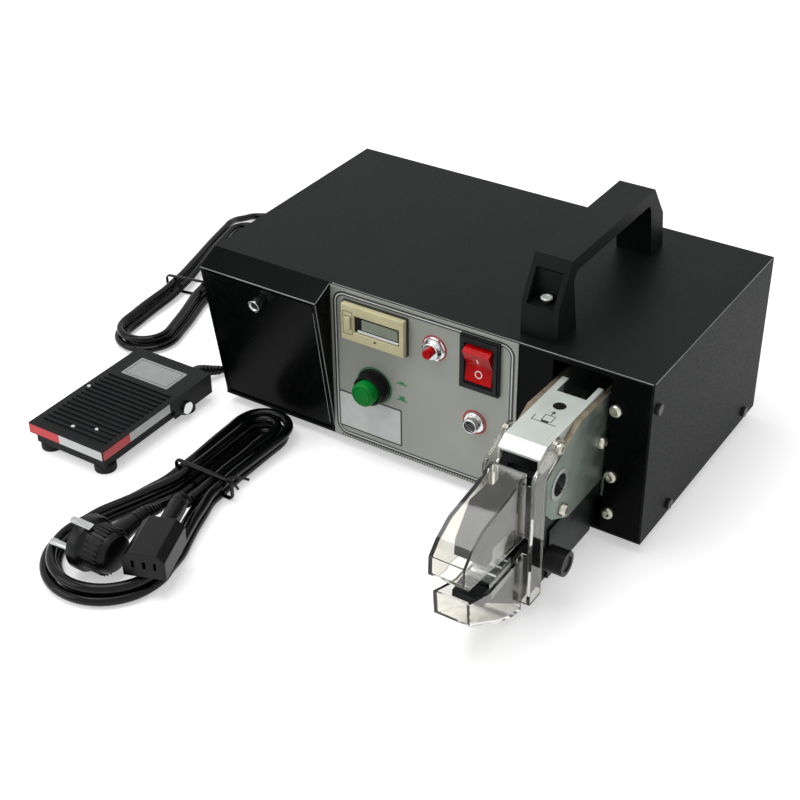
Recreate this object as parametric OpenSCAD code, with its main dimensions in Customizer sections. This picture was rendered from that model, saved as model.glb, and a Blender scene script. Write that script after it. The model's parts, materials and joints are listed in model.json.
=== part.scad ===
// Electric bench machine for crimping terminals, with its foot pedal, pedal cord and mains lead.
// Millimetres. X runs to the right, Y to the back and Z up.
// The origin lies on the ground under the centre of the case.

/* [Case] */
// Width of the case
case_w = 318; // [290:1:380]
// Depth of the case without the head and the hood
case_d = 180; // [170:1:240]
// Height of the case without its feet
case_h = 116; // [112:1:150]
// Thickness of the case's sheet metal
sheet = 1.5; // [1:0.1:2]
// Height of the rubber feet
foot_h = 8; // [6:0.5:14]
// Diameter of the rubber feet
foot_d = 18; // [12:1:24]

/* [Storage hood] */
// Width of the hood over the storage box
hood_w = 93; // [80:1:100]
// How far the hood's upper edge stands out of the case
hood_out = 17; // [12:0.5:22]
// How far the hood's upper edge lies below the roof
hood_drop = 8; // [6:0.5:14]
// Height of the door's foot above the case floor
hood_foot = 4; // [3:0.5:8]
// Diameter of the door's knurled knob
knob_d = 8.5; // [7:0.5:12]

/* [Control plate] */
// Width of the grey control plate
panel_w = 137; // [130:1:145]
// Thickness of the control plate
panel_t = 1; // [0.8:0.1:2]
// Counter's bezel, width
counter_w = 47; // [44:0.5:50]
// Counter's bezel, height
counter_h = 26; // [24:0.5:30]
// Rocker switch's bezel, width
rocker_w = 27.7; // [26:0.1:32]
// Rocker switch's bezel, height
rocker_h = 37.8; // [35:0.1:42]
// Diameter of the green button's cap
button_d = 18; // [14:0.5:20]
// Travel of the green button
button_travel = 3.5; // [2:0.5:4]

/* [Carry handle] */
// Width of the handle
handle_w = 25; // [20:0.5:32]
// Length of the handle over its feet
handle_l = 146.5; // [130:0.5:150]
// Height of the handle over the roof
handle_h = 49; // [42:0.5:60]
// Thickness of the handle's bar
handle_bar = 9; // [7:0.5:14]

/* [Head] */
// Distance of the head's middle from the case's middle
head_x = 113; // [108:0.5:116]
// Clear width between the two side plates
head_gap = 27; // [26:0.5:28]
// Thickness of a side plate
plate_t = 4; // [3:0.5:5]
// Height of the line on which the jaws meet
mouth_z = 53; // [52:0.5:54]
// Distance of a jaw's pivot from that line
pivot_rise = 26; // [25:0.5:27]
// Distance of the jaw pivots in front of the case
pivot_out = 57.5; // [56:0.5:60]
// Thickness of a jaw
jaw_t = 17; // [15:0.5:17]
// Reach of a jaw from its pivot to its tip
jaw_reach = 72; // [66:0.5:74]
// Angle that each jaw opens
jaw_open = 6; // [4:0.5:6.5]
// Slope of the ram's wedge
wedge_slope = 15; // [14:0.5:16]

/* [Guard] */
// Thickness of the clear guard
guard_t = 2; // [1.5:0.1:2.2]
// How far the guard reaches in front of the side plates
guard_reach = 65.5; // [64:0.5:75]
// Height of the guard
guard_rise = 98.5; // [96:0.5:100]

/* [Foot pedal] */
// Width of the pedal's treadle
pedal_w = 65.5; // [60:0.5:80]
// Length of the treadle
pedal_l = 112; // [105:1:130]
// Height of the pedal
pedal_h = 22; // [21:0.5:26]
// Angle that the treadle tilts
pedal_tilt = 4; // [2:0.5:4.5]

/* [Cords] */
// Diameter of the pedal's cord
pedal_cord_d = 5.5; // [5:0.1:6]
// Diameter of the mains lead
mains_cord_d = 6.5; // [6:0.1:7]

/* [Hidden] */
$fn = 48;

// Shared clearances and overruns
gap = 0.3;
slip = 0.1;
run_fit = 0.05;
cut = 1;

// Case faces
left_x = -case_w / 2;
right_x = case_w / 2;
front_y = -case_d / 2;
rear_y = case_d / 2;
floor_z = foot_h;
roof_z = foot_h + case_h;
tray_top = floor_z + sheet;
in_left = left_x + sheet;
in_right = right_x - sheet;
in_front = front_y + sheet;
in_rear = rear_y - sheet;
in_roof = roof_z - sheet;
foot_inset = 26;
foot_hole_d = 4.5;
tray_lip = 18;
lip_start = 12;
flange = 14;

// Hood and door
hood_left = left_x;
hood_right = left_x + hood_w;
hood_top_z = roof_z - hood_drop;
hood_front_y = front_y - hood_out;
foot_z = floor_z + hood_foot;
cheek_back_y = front_y + 12;
door_tilt = atan(hood_out / (hood_top_z - foot_z));
door_rise = sqrt(pow(hood_out, 2) + pow(hood_top_z - foot_z, 2));
door_left = hood_left + 2 * sheet + 2 * gap;
door_right = hood_right - 2 * sheet - 2 * gap;
door_w = door_right - door_left;
door_start = 0.5;
door_top = door_rise - sheet - 3 * gap;
door_lip = 5;
hinge_in = 3;
hinge_up = 4;
hinge_pin_d = 3;
hinge_ear = 4;
knob_x = left_x + 47;
knob_up = 93;
knob_t = 5;
knob_off = 2.5;
knob_neck_d = 6;
knob_shank_d = 4;
knob_shank_in = 9.5;
knob_dish = 0.8;
bracket_y = door_lip + 4 * gap;
bracket_w = 26;
bracket_drop = 20;
bracket_hole_d = 4.8;
hood_slope = atan(hood_drop / hood_out);
hinge_y = front_y + hinge_in * cos(door_tilt) - hinge_up * sin(door_tilt);
hinge_z = foot_z + hinge_in * sin(door_tilt) + hinge_up * cos(door_tilt);
box_front_y = front_y + 8;
box_back_y = front_y + 70;
box_top_z = roof_z - 8;
box_sheet = 1.2;

// Control plate and what it carries
panel_left = hood_right;
panel_right = panel_left + panel_w;
panel_y = front_y - panel_t;
panel_edge = 1;
counter_x = panel_left + 35;
counter_up = 94.5;
counter_proud = 5;
counter_body_w = 44;
counter_body_h = 22;
counter_depth = 47;
window_w = 34;
window_h = 12;
window_in = 1.2;
window_x = counter_x + 3;
window_z = floor_z + counter_up;
key_w = 4.5;
key_h = 9;
key_x = counter_x + 3.5 - counter_body_w / 2;
key_depth = 6;
key_travel = 1;
key_proud = 1.2;
rocker_x = panel_left + 111.5;
rocker_up = 92.5;
rocker_proud = 2.5;
rocker_body_w = 22;
rocker_body_h = 31;
rocker_depth = 25;
rocker_cap_w = 18.6;
rocker_cap_h = 27;
rocker_angle = 10;
rocker_bulge = 3;
rocker_axle_d = 4;
rocker_in = 1;
rocker_hollow = 0.5;
button_x = panel_left + 33;
button_up = 50;
collar_d = 24.5;
collar_flange = 2;
collar_barrel_d = 21;
collar_barrel = 9;
button_out = 20;
button_cap = 14;
button_stem_d = 8;
button_stem = 26;
button_body_d = 16;
button_depth = 25;
button_edge = 1.5;
breaker_x = panel_left + 78.3;
breaker_up = 93.2;
breaker_bush_d = 11;
breaker_bush = 5.5;
breaker_nut_w = 14;
breaker_nut_t = 3;
breaker_depth = 28;
breaker_body_w = 16;
breaker_button_d = 6.4;
breaker_button_out = 10;
breaker_travel = 2;
breaker_stem = 12;
lamp_x = panel_left + 108;
lamp_up = 48.6;
lamp_flange_d = 14;
lamp_flange = 1.5;
lamp_tube_d = 10;
lamp_tube = 5;
lamp_body_d = 8;
lamp_depth = 22;
lamp_eye_d = 6.5;
lamp_eye = 1.5;

// Handle
handle_x = right_x - 80.5;
handle_front_y = -80.5;
handle_back_y = handle_front_y + handle_l;
handle_top_z = roof_z + handle_h;
handle_face_share = 0.47;
handle_nose_share = 0.1;
handle_tail_share = 0.137;
handle_heel_share = 0.027;
handle_leg = 24.5;
handle_leg_top = 17.5;
handle_back_leg = 17;
handle_back_top = 24;
pocket_w = 18;
pocket_depth = 12;
pocket_floor = 21.5;
handle_screw_d = 7;
handle_screw_t = 3;
handle_shank_d = 4;
handle_screw_y = handle_front_y + 8;
handle_back_screw_y = handle_back_y - 7.5;
handle_boss_top = 14;
screw_bite = 6;

// Case screws
screw_d = 7;
screw_t = 2.2;
screw_shank_d = 3.8;
screw_up_high = 95.7;
screw_front_y = front_y + 7.4;
screw_low = 7;
screw_mid_y = -51.3;
screw_back_y = 69.4;

// Rear panel fittings
inlet_x = left_x + 44;
inlet_up = 42;
inlet_w = 27;
inlet_h = 19.5;
inlet_rim = 2.5;
inlet_proud = 2;
inlet_depth = 28;
inlet_well = 18;
inlet_wall = 2.5;
inlet_pin_w = 4;
inlet_pin_t = 2;
inlet_pin = 14;
inlet_pin_pitch = 7;
socket_x = left_x + 84;
socket_up = 32;
socket_d = 16;
socket_flange_d = 20;
socket_proud = 2;
socket_depth = 18;
socket_pin_d = 9;
socket_pin = 6;
vent_x = right_x - 99;
vent_pitch = 9;
vent_count = 8;
vent_w = 4;
vent_h = 46;
vent_up = 34;

// Drive
cam_y = front_y + 60;
cam_r = 16;
cam_t = 16;
cam_turn = 300;
cam_dwell = 25;
shaft_d = 14;
bush_d = 18;
bush_flange_d = 22;
bush_flange = 1;
bush_extra = 1;
motor_d = 60;
motor_l = 80;
motor_boss_d = 20;
gearbox_l = 46;
gearbox_side = 60;
gearbox_rise = 66;
gear_bore_l = 30;
bracket_t = 4;
bracket_l = 66;
bracket_rise = 62;
bracket_hole = 26;
bracket_rim = 8;
nose_r = 8;
nose_w = 14;
ram_d = 20;
collar_ram_d = 25.4;
collar_ram_t = 4;
block_l = 16;
block_in = 6;
wedge_l = 26;
wedge_w = 12;
wedge_tip = 3;
spring_in_d = 21.6;
spring_out_d = 25.2;
pad_r = 5;
pad_out = 28;

// Ram positions along Y, worked out from the cam
nose_y = cam_y - cam_r - gap - nose_r;
collar_y = nose_y - 4;
collar_front_y = collar_y - collar_ram_t;
block_back_y = front_y + block_in;
block_front_y = block_back_y - block_l;
wedge_root_y = block_front_y - 2;
wedge_tip_y = wedge_root_y - wedge_l;

// Jaws
pivot_y = front_y - pivot_out;
upper_z = mouth_z + pivot_rise;
lower_z = mouth_z - pivot_rise;
pad_y = front_y - pad_out;
pad_z = mouth_z + wedge_tip + tan(wedge_slope) * (pad_y - wedge_tip_y)
  + (pad_r + gap) / cos(wedge_slope);
arm_y = pad_y - pivot_y;
arm_z = upper_z - pad_z;
pad_lift = arm_y * sin(jaw_open) + arm_z * (1 - cos(jaw_open));
pad_shift = arm_y * (cos(jaw_open) - 1) + arm_z * sin(jaw_open);
stroke = pad_lift / tan(wedge_slope) - pad_shift;
upper_pin_d = 20;
upper_pin_bore = 14;
lower_pin_d = 12;
boss_r = 13;
boss_step = 0.5;
die_l = 24;
die_h = 11.75;
die_gap = 0.25;
die_seat = die_h + die_gap;
die_far = 59.5;
nest_d = [5.2, 4, 3];
nest_shares = [0.24, 0.54, 0.8];
// Outlines as shares of the jaw's reach and of the pivot's rise, with the jaws closed
upper_jaw_shares = [
  [0.92, 0.115], [0.968, 0.215], [0.97, 0.6], [0.79, 1.31], [0.523, 1.35], [0.447, 1.18],
  [0.3, 1.2], [-0.3, 1.2], [-0.47, 1], [-0.495, 0.75], [-0.42, 0.5],
  [-0.3, 0.48], [-0.16, 0.7], [0, 0.44], [0.15, 0.19], [0.34, 0.115]
];
lower_jaw_shares = [
  [0.99, -0.115], [1, -0.28], [0.9, -0.4], [0.38, -1.74], [0.16, -1.78],
  [-0.1, -1.1], [-0.3, -1.2], [-0.47, -1], [-0.495, -0.75], [-0.42, -0.5],
  [-0.3, -0.48], [-0.16, -0.7], [0, -0.44], [0.15, -0.19], [0.34, -0.115]
];

// Head frame
plate_in_left = head_x - head_gap / 2;
plate_in_right = head_x + head_gap / 2;
jaw_left = head_x - jaw_t / 2;
jaw_right = head_x + jaw_t / 2;
cheek_gap = 0.5;
body_half = 15;
body_bottom = 11;
body_seam = mouth_z - 6;
body_front_y = pivot_y - 13.5;
body_top = upper_z + 16;
body_web = 2;
body_web_y = pivot_y + 14;
nose_top = roof_z - 16.5;
nose_back_y = pivot_y + 7.5;
nose_half = 11.8;
plate_back_y = cam_y + 20;
plate_low = 20;
plate_step_y = front_y + 8;
plate_front_y = pivot_y - 14.5;
plate_top = 107;
plate_hump = 1.7;
hump_y = front_y - 33.5;
chin_y = front_y - 44.4;
jowl_y = front_y - 64.9;
jowl_rise = 11.4;
lip_rise = 19;
brow_drop = 16;
shoulder_drop = 7.2;
shoulder_y = front_y - 52.8;
cover_top = 109;
cover_back_y = front_y + 2;
cover_bend_y = front_y - 67;
cover_front_y = front_y - 75;
cover_dip = 4.5;
cover_flange = 13;
cover_slot_w = 19.4;
cover_slot_x = head_x + 0.4;
cover_slot_y = front_y - 13.6;
cover_hole_d = 8;
cover_hole_y = front_y - 27;
bolt_y = front_y - 5;
bolt_z = 77;
panel_bolt_x = right_x - 22.5;
panel_bolt_zs = [99, 51.6, 24.2];
chin_bolt_y = front_y - 52.9;
chin_bolt_z = 58.4;
low_bolt_z = 36;
bolt_d = 8;
bolt_t = 3.2;
bolt_shank_d = 4;
bolt_len = 7;
front_bolt_y = cam_y + 14;
lock_y = pivot_y - 9;
lock_z = mouth_z - 20.5;
lock_d = 16;
lock_l = 12.6;
lock_neck_d = 8;
lock_neck = 2.6;
lock_shank_d = 5;
lock_shank = 5;
lock_dish = 1;
lock_dish_d = 10;

// Guard, with its outline as shares of its reach and its height
nose_front_y = body_front_y - 1;
nose_front_top = nose_top
  - cover_dip * (cover_bend_y - nose_front_y) / (cover_bend_y - cover_front_y);
guard_half = 11.5;
guard_back_y = plate_front_y - 14;
guard_low = 3.5;
guard_wing_half = 17;
guard_wing_in = 14.3;
strip_w = 13.5;
strip_foot = [20.9, 9.8];
strip_low = 9;
strip_high = 93.5;
guard_axis_y = pivot_y - 1.5;
guard_axis_z = mouth_z + 51.8;
guard_ear_r = 6;
guard_pin_d = 4;
guard_pin_head_d = 7.5;
guard_pin_head = 2;
guard_pin_end = 7;
mouth_low = 44;
mouth_high = 57;
guard_upper_shares = [
  [0, 1], [0.244, 0.949], [0.687, 0.909], [0.885, 0.838], [0.992, 0.766], [1, 0.645],
  [0.931, 0.594], [0.33, 0.55], [0, 0.539]
];
guard_lower_shares = [
  [0, 0.407], [0.577, 0.405], [0.922, 0.489], [0.901, 0.32], [0.421, 0.107],
  [0.168, 0.025], [0, 0]
];

// Pedal
pedal_x = -202.2;
pedal_front_y = -206;
pedal_back_y = pedal_front_y + pedal_l;
pedal_pivot_y = pedal_back_y - 28.5;
pedal_pivot_z = 10;
pedal_wall = 1.5;
pedal_top_t = 2;
skirt = 8;
ear_skirt = 15.5;
ear_l = 40;
base_wall = 2;
base_low = 6;
base_h = 7.5;
base_inset = 3;
pedal_pin_d = 5;
pedal_pin_head_d = 9;
pedal_pin_head = 2;
pedal_foot_d = 15;
pedal_foot_in = 9;
pedal_foot_front = 10;
pedal_foot_back = 20;
rib_count = 15;
rib_pitch = 4.6;
rib_t = 1.2;
rib_h = 1;
rib_margin = 5;
rib_start = 9;
switch_l = 28;
switch_w = 10;
switch_h = 8;
switch_y = pedal_pivot_y - 34;
switch_button = 1.3;
switch_button_d = 4;
gland_x = -190;
gland_z = 12;
gland_d = 9;
gland_l = 6;
gland_wall = 10;

// Circuit board, with its parts as [x, y, width, depth, height] from the board's middle
part_places = [[-36, 8, 22, 16, 14], [-8, 12, 14, 12, 16], [14, -22, 18, 14, 10], [-30, -20, 14, 14, 5]];
capacitor_x = 24;
capacitor_d = 10;
capacitor_h = 20;
board_x = left_x + 49;
board_y = 32;
board_w = 84;
board_d = 62;
board_t = 1.6;
board_up = 8;
post_d = 6;
post_in = 5;

// Cord hanks: half widths at the front, the waist and the rear, the distances from the front
// centre to the waist and to the rear centre, the step of the spiral, and the turn at which it
// changes its way; then the first and the last ring, the front centre and the hank's own turn
pedal_hank_sizes = [25, 18, 22, 70, 162, 6.4, 40 / 24];
pedal_hank_rings = [0, 67];
pedal_hank_place = [-263.5, -54];
pedal_hank_turn = 11;
mains_hank_sizes = [41.5, 18.7, 19.6, 90, 153, 7.55, 64 / 24];
mains_hank_rings = [16, 99];
mains_hank_place = [-108, -269];
mains_hank_turn = 0;
hank_lift = 1.3;
layer_gap = 0.5;
tie_t = 0.9;
tie_w = 5;
tie_slack = 0.2;
run_rings = 6;
front_rings = 7;
rear_rings = 5;
loop_rings = 24;
climb_span = 3 / 24;

// Routes of the free stretches, chosen by hand
pedal_lead_route = [
  [-190, -88, 12], [-190, -80, 10], [-184, -64, 4.2], [-176, -44, 3], [-172, -12, 3],
  [-172, 30, 3], [-180, 70, 3], [-196, 104, 3], [-218, 128, 3], [-244, 141, 3],
  [-266, 138, 3.4]
];
pedal_run_route = [
  [-317, 122, 8], [-313, 142, 4], [-292, 157, 3], [-250, 164, 3], [-200, 164, 3],
  [-150, 163, 3], [-112, 160, 7], [-87, 154, 20], [-76, 143, 33], [-75, 134, 39]
];
plug_end_route = [[-111, -206, 7], [-109, -222, 13], [-107.4, -236, 18]];
connector_end_route = [[-97.4, -211, 14.4], [-94.6, -216, 19.8]];

// Plug of the pedal cord
cord_plug_d = 17;
cord_plug_l = 24;
cord_plug_neck_d = 10;
cord_plug_neck = 12;

// Mains plug and appliance connector
plug_x = -121;
plug_y = -277;
plug_z = 19;
plug_d = 35;
plug_l = 28;
plug_pin_d = 4.8;
plug_pin = 18;
plug_pin_pitch = 19;
plug_pin_tilt = 12;
plug_face_d = 31;
plug_face = 1.5;
plug_neck_d = 11;
plug_neck_x = -107;
plug_neck_y = -246;
connector_x = -75;
connector_y = -265;
connector_z = 25;
connector_w = 27;
connector_t = 18;
connector_l = 36;
connector_turn = 20;
connector_neck_d = 11;
connector_neck = 22;
connector_slot_w = 1.6;
connector_slot_h = 5;
connector_slot = 16;
connector_pitch = 7;
connector_bevel = 5;

// A box between two corners
module box(low, high) {
  translate(low)
    cube(high - low);
}

// A rod along X, Y or Z
module rod_x(x0, x1, y, z, d) {
  translate([x0, y, z])
    rotate([0, 90, 0])
      cylinder(h = x1 - x0, d = d);
}

module rod_y(y0, y1, x, z, d) {
  translate([x, y0, z])
    rotate([-90, 0, 0])
      cylinder(h = y1 - y0, d = d);
}

module rod_z(z0, z1, x, y, d) {
  translate([x, y, z0])
    cylinder(h = z1 - z0, d = d);
}

// An outline of [y, z] points, drawn out along X
module slab_x(x0, x1, outline) {
  translate([x0, 0, 0])
    rotate([90, 0, 90])
      linear_extrude(x1 - x0)
        polygon(outline);
}

// Points moved by shares: forward from a start along Y, and up from a height
function forward(shares, y, z, reach, rise) = [for (s = shares) [y - s[0] * reach, z + s[1] * rise]];

// A closed outline moved inwards by d, corner by corner; its points run clockwise or the other way
function unit(v) = v / norm(v);
function turned(v) = [-v[1], v[0]];
function beyond(a, b, d) = a + unit(a - b) * d;
function inset_corner(a, b, c, d) = let (
  m = turned(unit(b - a)),
  n = turned(unit(c - b))
) b + (m + n) * d / (1 + m * n);
function inset(p, d) = [
  for (i = [0 : len(p) - 1]) inset_corner(p[(i + len(p) - 1) % len(p)], p[i], p[(i + 1) % len(p)], d)
];

// The hollow of an outline that keeps a skin along one run of its edges and is open elsewhere
function skin_core(p, from, to, away) = inset([
  for (i = [0 : len(p) - 1])
    i < from || i > to ? p[i] + away
    : i == from ? beyond(p[i], p[i + 1], 2 * guard_t)
    : i == to ? beyond(p[i], p[i - 1], 2 * guard_t)
    : p[i]
], guard_t);

// Turns its children from the jaws' closed place to the open one
module opened(z, way) {
  translate([0, pivot_y, z])
    rotate([-way * jaw_open, 0, 0])
      translate([0, -pivot_y, -z])
        children();
}

// The door's own place: its outer face stands on Y = 0, and Z runs up the door
module door_place() {
  translate([0, front_y, foot_z])
    rotate([door_tilt, 0, 0])
      children();
}

// Tube along points
function flat_side(t) = unit(cross(t, [0, 0, 1]));
function ring(p, t, r, n) = let (
  s = flat_side(t),
  u = cross(s, t)
) [for (k = [0 : n - 1]) p + r * (cos(360 * k / n) * u + sin(360 * k / n) * s)];
function tangent(p, i) = unit(p[min(i + 1, len(p) - 1)] - p[max(i - 1, 0)]);

module tube(p, d, n) {
  rings = [for (i = [0 : len(p) - 1]) each ring(p[i], tangent(p, i), d / 2, n)];
  last = (len(p) - 1) * n;
  sides = [
    for (i = [0 : len(p) - 2], k = [0 : n - 1])
      each let (a = i * n + k, b = i * n + (k + 1) % n)
        [[a, a + n, b], [b, a + n, b + n]]
  ];
  first_cap = [for (k = [1 : n - 2]) [0, k, k + 1]];
  last_cap = [for (k = [1 : n - 2]) [last, last + k + 1, last + k]];
  polyhedron(points = rings, faces = concat(sides, first_cap, last_cap));
}

// A smooth line through a route's points, with some rings between each pair
function spline(a, b, c, d, s) = 0.5 * (2 * b + (c - a) * s + (2 * a - 5 * b + 4 * c - d) * s * s
  + (3 * b - a - 3 * c + d) * s * s * s);
function smooth_route(p, n) = concat([
  for (i = [0 : len(p) - 2], k = [0 : n - 1])
    spline(p[max(i - 1, 0)], p[i], p[i + 1], p[min(i + 2, len(p) - 1)], k / n)
], [p[len(p) - 1]]);

// Hank: one cord in loops that spiral, climb one layer where the spiral changes its way, and
// spiral back
function ease(s) = s <= 0 ? 0 : s >= 1 ? 1 : s * s * (3 - 2 * s);
function hank_half(y, w) = y < w[3]
  ? w[1] + (w[0] - w[1]) * ease(1 - y / w[3])
  : w[1] + (w[2] - w[1]) * ease((y - w[3]) / (w[4] - w[3]));
function hank_flat(u, off, w) = let (
  run_back = run_rings + front_rings,
  turn_rear = run_back + run_rings
) u < run_rings ? let (y = w[4] * (1 - u / run_rings)) [hank_half(y, w) - off, y]
  : u < run_back ? let (a = 180 * (u - run_rings) / front_rings)
    [(w[0] - off) * cos(a), -(w[0] - off) * sin(a)]
  : u < turn_rear ? let (y = w[4] * (u - run_back) / run_rings) [off - hank_half(y, w), y]
  : let (a = 180 * (u - turn_rear) / rear_rings)
    [-(w[2] - off) * cos(a), w[4] + (w[2] - off) * sin(a)];
function hank_offset(t, w, inward) = w[5] * (inward ? w[6] - abs(t - w[6]) : abs(t - w[6]));
function hank_height(t, w, d) = hank_lift + d / 2
  + (d + layer_gap) * ease((t - w[6] + climb_span) / (2 * climb_span));
function hank_ring(i, w, d, inward) = let (
  t = i / loop_rings,
  p = hank_flat(i % loop_rings, hank_offset(t, w, inward), w)
) [p[0], p[1], hank_height(t, w, d)];
function with_ends(p, d) = let (
  n = len(p) - 1
) concat([p[0] + unit(p[0] - p[1]) * d], p, [p[n] + unit(p[n] - p[n - 1]) * d]);
function hank_points(w, d, inward, rings) =
  with_ends([for (i = [rings[0] : rings[1]]) hank_ring(i, w, d, inward)], d);
function placed(p, place, turn) = [
  for (q = p) [
    place[0] + q[0] * cos(turn) - q[1] * sin(turn),
    place[1] + q[0] * sin(turn) + q[1] * cos(turn),
    q[2]
  ]
];
function off_run(q, a, b) = let (
  s = max(0, min(1, ((q - a) * (b - a)) / ((b - a) * (b - a))))
) norm(q - a - s * (b - a));
function least_gap(p, d, away) = min([
  for (i = [0 : len(p) - 1], j = [0 : len(p) - 2])
    if (j > i + away || j < i - away - 1) off_run(p[i], p[j], p[j + 1])
]) - d;
function line_length(p) = len(p) < 2 ? 0
  : norm(p[1] - p[0]) + line_length([for (i = [1 : len(p) - 1]) p[i]]);

pedal_hank = placed(
  hank_points(pedal_hank_sizes, pedal_cord_d, true, pedal_hank_rings),
  pedal_hank_place, pedal_hank_turn
);
mains_hank = placed(
  hank_points(mains_hank_sizes, mains_cord_d, false, mains_hank_rings),
  mains_hank_place, mains_hank_turn
);
echo("least gap of the pedal hank to itself", least_gap(pedal_hank, pedal_cord_d, 4));
echo("least gap of the mains hank to itself", least_gap(mains_hank, mains_cord_d, 4));
echo("length in the pedal hank", line_length(pedal_hank));
echo("length in the mains hank", line_length(mains_hank));
echo("stroke of the ram", stroke);

// Case

module base_tray() {
  color("#26292a")
    difference() {
      union() {
        box([in_left, front_y, floor_z], [in_right, rear_y, tray_top]);
        for (side = [0, 1])
          mirror([side, 0, 0])
            box([in_right - sheet, front_y + lip_start, tray_top - cut],
              [in_right, rear_y - lip_start, tray_top + tray_lip]);
      }
      for (side = [-1, 1], y = [screw_mid_y, screw_back_y])
        rod_x(side * in_right - 2 * sheet, side * in_right + 2 * sheet, y, floor_z + screw_low,
          screw_shank_d);
      at_feet()
        rod_z(floor_z - cut, tray_top + cut, 0, 0, foot_hole_d);
    }
}

module top_cover() {
  color("#26292a")
    difference() {
      box([left_x, front_y, floor_z], [right_x, rear_y, roof_z]);
      box([in_left, front_y - cut, floor_z - cut], [in_right, rear_y + cut, in_roof]);
      for (side = [-1, 1], s = [
        [screw_front_y, screw_up_high], [screw_mid_y, screw_low], [screw_back_y, screw_low]
      ])
        rod_x(side * right_x - 2 * sheet, side * right_x + 2 * sheet, s[0], floor_z + s[1],
          screw_shank_d);
      for (y = [handle_screw_y, handle_back_screw_y])
        rod_z(in_roof - cut, roof_z + cut, handle_x, y, handle_shank_d);
    }
}

module panel_cuts(y0, y1) {
  box([counter_x - counter_body_w / 2, y0, floor_z + counter_up - counter_body_h / 2],
    [counter_x + counter_body_w / 2, y1, floor_z + counter_up + counter_body_h / 2]);
  box([rocker_x - rocker_body_w / 2, y0, floor_z + rocker_up - rocker_body_h / 2],
    [rocker_x + rocker_body_w / 2, y1, floor_z + rocker_up + rocker_body_h / 2]);
  rod_y(y0, y1, button_x, floor_z + button_up, button_body_d);
  rod_y(y0, y1, breaker_x, floor_z + breaker_up, breaker_bush_d);
  rod_y(y0, y1, lamp_x, floor_z + lamp_up, lamp_body_d);
}

module front_panel() {
  color("#26292a")
    difference() {
      union() {
        box([in_left, front_y, tray_top], [in_right, in_front, in_roof]);
        box([in_right - sheet, in_front - cut, tray_top + tray_lip + gap],
          [in_right, in_front + flange, in_roof]);
      }
      box([in_left - cut, front_y - cut, tray_top - cut],
        [hood_right - sheet, in_front + cut, hood_top_z + gap]);
      box([head_x - body_half - plate_t, front_y - cut, body_bottom - gap],
        [head_x + body_half + plate_t, in_front + cut, roof_z - 2.7 * sheet]);
      rod_x(in_right - 2 * sheet, in_right + sheet, screw_front_y, floor_z + screw_up_high,
        screw_shank_d);
      for (z = panel_bolt_zs)
        rod_y(front_y - cut, in_front + cut, panel_bolt_x, z, bolt_shank_d);
      panel_cuts(front_y - cut, in_front + cut);
    }
}

module rear_panel() {
  color("#26292a")
    difference() {
      box([in_left, in_rear, tray_top], [in_right, rear_y, in_roof]);
      box([inlet_x - inlet_w / 2, in_rear - cut, floor_z + inlet_up - inlet_h / 2],
        [inlet_x + inlet_w / 2, rear_y + cut, floor_z + inlet_up + inlet_h / 2]);
      rod_y(in_rear - cut, rear_y + cut, socket_x, floor_z + socket_up, socket_d);
      for (i = [0 : vent_count - 1])
        box([vent_x + i * vent_pitch, in_rear - cut, floor_z + vent_up],
          [vent_x + i * vent_pitch + vent_w, rear_y + cut, floor_z + vent_up + vent_h]);
    }
}

module control_plate() {
  color("#8b8f8e")
    difference() {
      box([panel_left, panel_y, floor_z + panel_edge], [panel_right, front_y, roof_z - panel_edge]);
      panel_cuts(panel_y - cut, front_y + cut);
    }
}

// Storage hood and its door

module hood_cheek(x_skin, x_inner) {
  slab_x(x_skin, x_skin + sheet, [
    [front_y, roof_z], [hood_front_y, hood_top_z], [front_y, foot_z]
  ]);
  slab_x(x_inner, x_inner + sheet, [
    [front_y - sheet, roof_z - sheet], [hood_front_y, hood_top_z], [front_y, foot_z],
    [front_y, tray_top], [cheek_back_y, tray_top], [cheek_back_y, hood_top_z - sheet],
    [front_y - sheet, hood_top_z - sheet]
  ]);
}

module storage_hood() {
  inward = sheet * [sin(hood_slope), -cos(hood_slope)];
  color("#26292a")
    difference() {
      union() {
        hood_cheek(hood_left, hood_left + sheet);
        hood_cheek(hood_right - sheet, hood_right - 2 * sheet);
        slab_x(hood_left, hood_right, [
          [front_y, roof_z], [hood_front_y, hood_top_z],
          [hood_front_y, hood_top_z] + inward, [front_y, roof_z - sheet / cos(hood_slope)]
        ]);
        door_place()
          box([knob_x - bracket_w / 2, bracket_y, door_rise - bracket_drop],
            [knob_x + bracket_w / 2, bracket_y + sheet, door_rise + cut]);
      }
      rod_x(hood_left - cut, hood_right + cut, hinge_y, hinge_z, hinge_pin_d);
      door_place()
        rod_y(0, knob_shank_in + cut, knob_x, knob_up, bracket_hole_d);
      rod_x(hood_left - cut, hood_left + 2 * sheet + cut, screw_front_y, floor_z + screw_up_high,
        screw_shank_d);
    }
}

module storage_door() {
  color("#1e2123")
    door_place()
      difference() {
        union() {
          box([door_left, 0, door_start], [door_right, sheet, door_top]);
          for (x = [door_left, door_right - sheet])
            box([x, sheet - cut, door_start], [x + sheet, door_lip, door_top]);
          for (x = [door_left, door_right - hinge_ear])
            box([x, sheet - cut, door_start],
              [x + hinge_ear, hinge_in + hinge_pin_d, hinge_up + hinge_pin_d]);
        }
        rod_x(door_left - cut, door_right + cut, hinge_in, hinge_up, hinge_pin_d + 2 * run_fit);
        rod_y(-cut, sheet + cut, knob_x, knob_up, knob_shank_d + 2 * run_fit);
      }
}

module door_hinge_pins() {
  color("#9a9c9b")
    for (x = [hood_left + sheet, hood_right - 2 * sheet - hinge_ear - 2 * gap])
      rod_x(x, x + sheet + hinge_ear + 2 * gap, hinge_y, hinge_z, hinge_pin_d);
}

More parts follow.
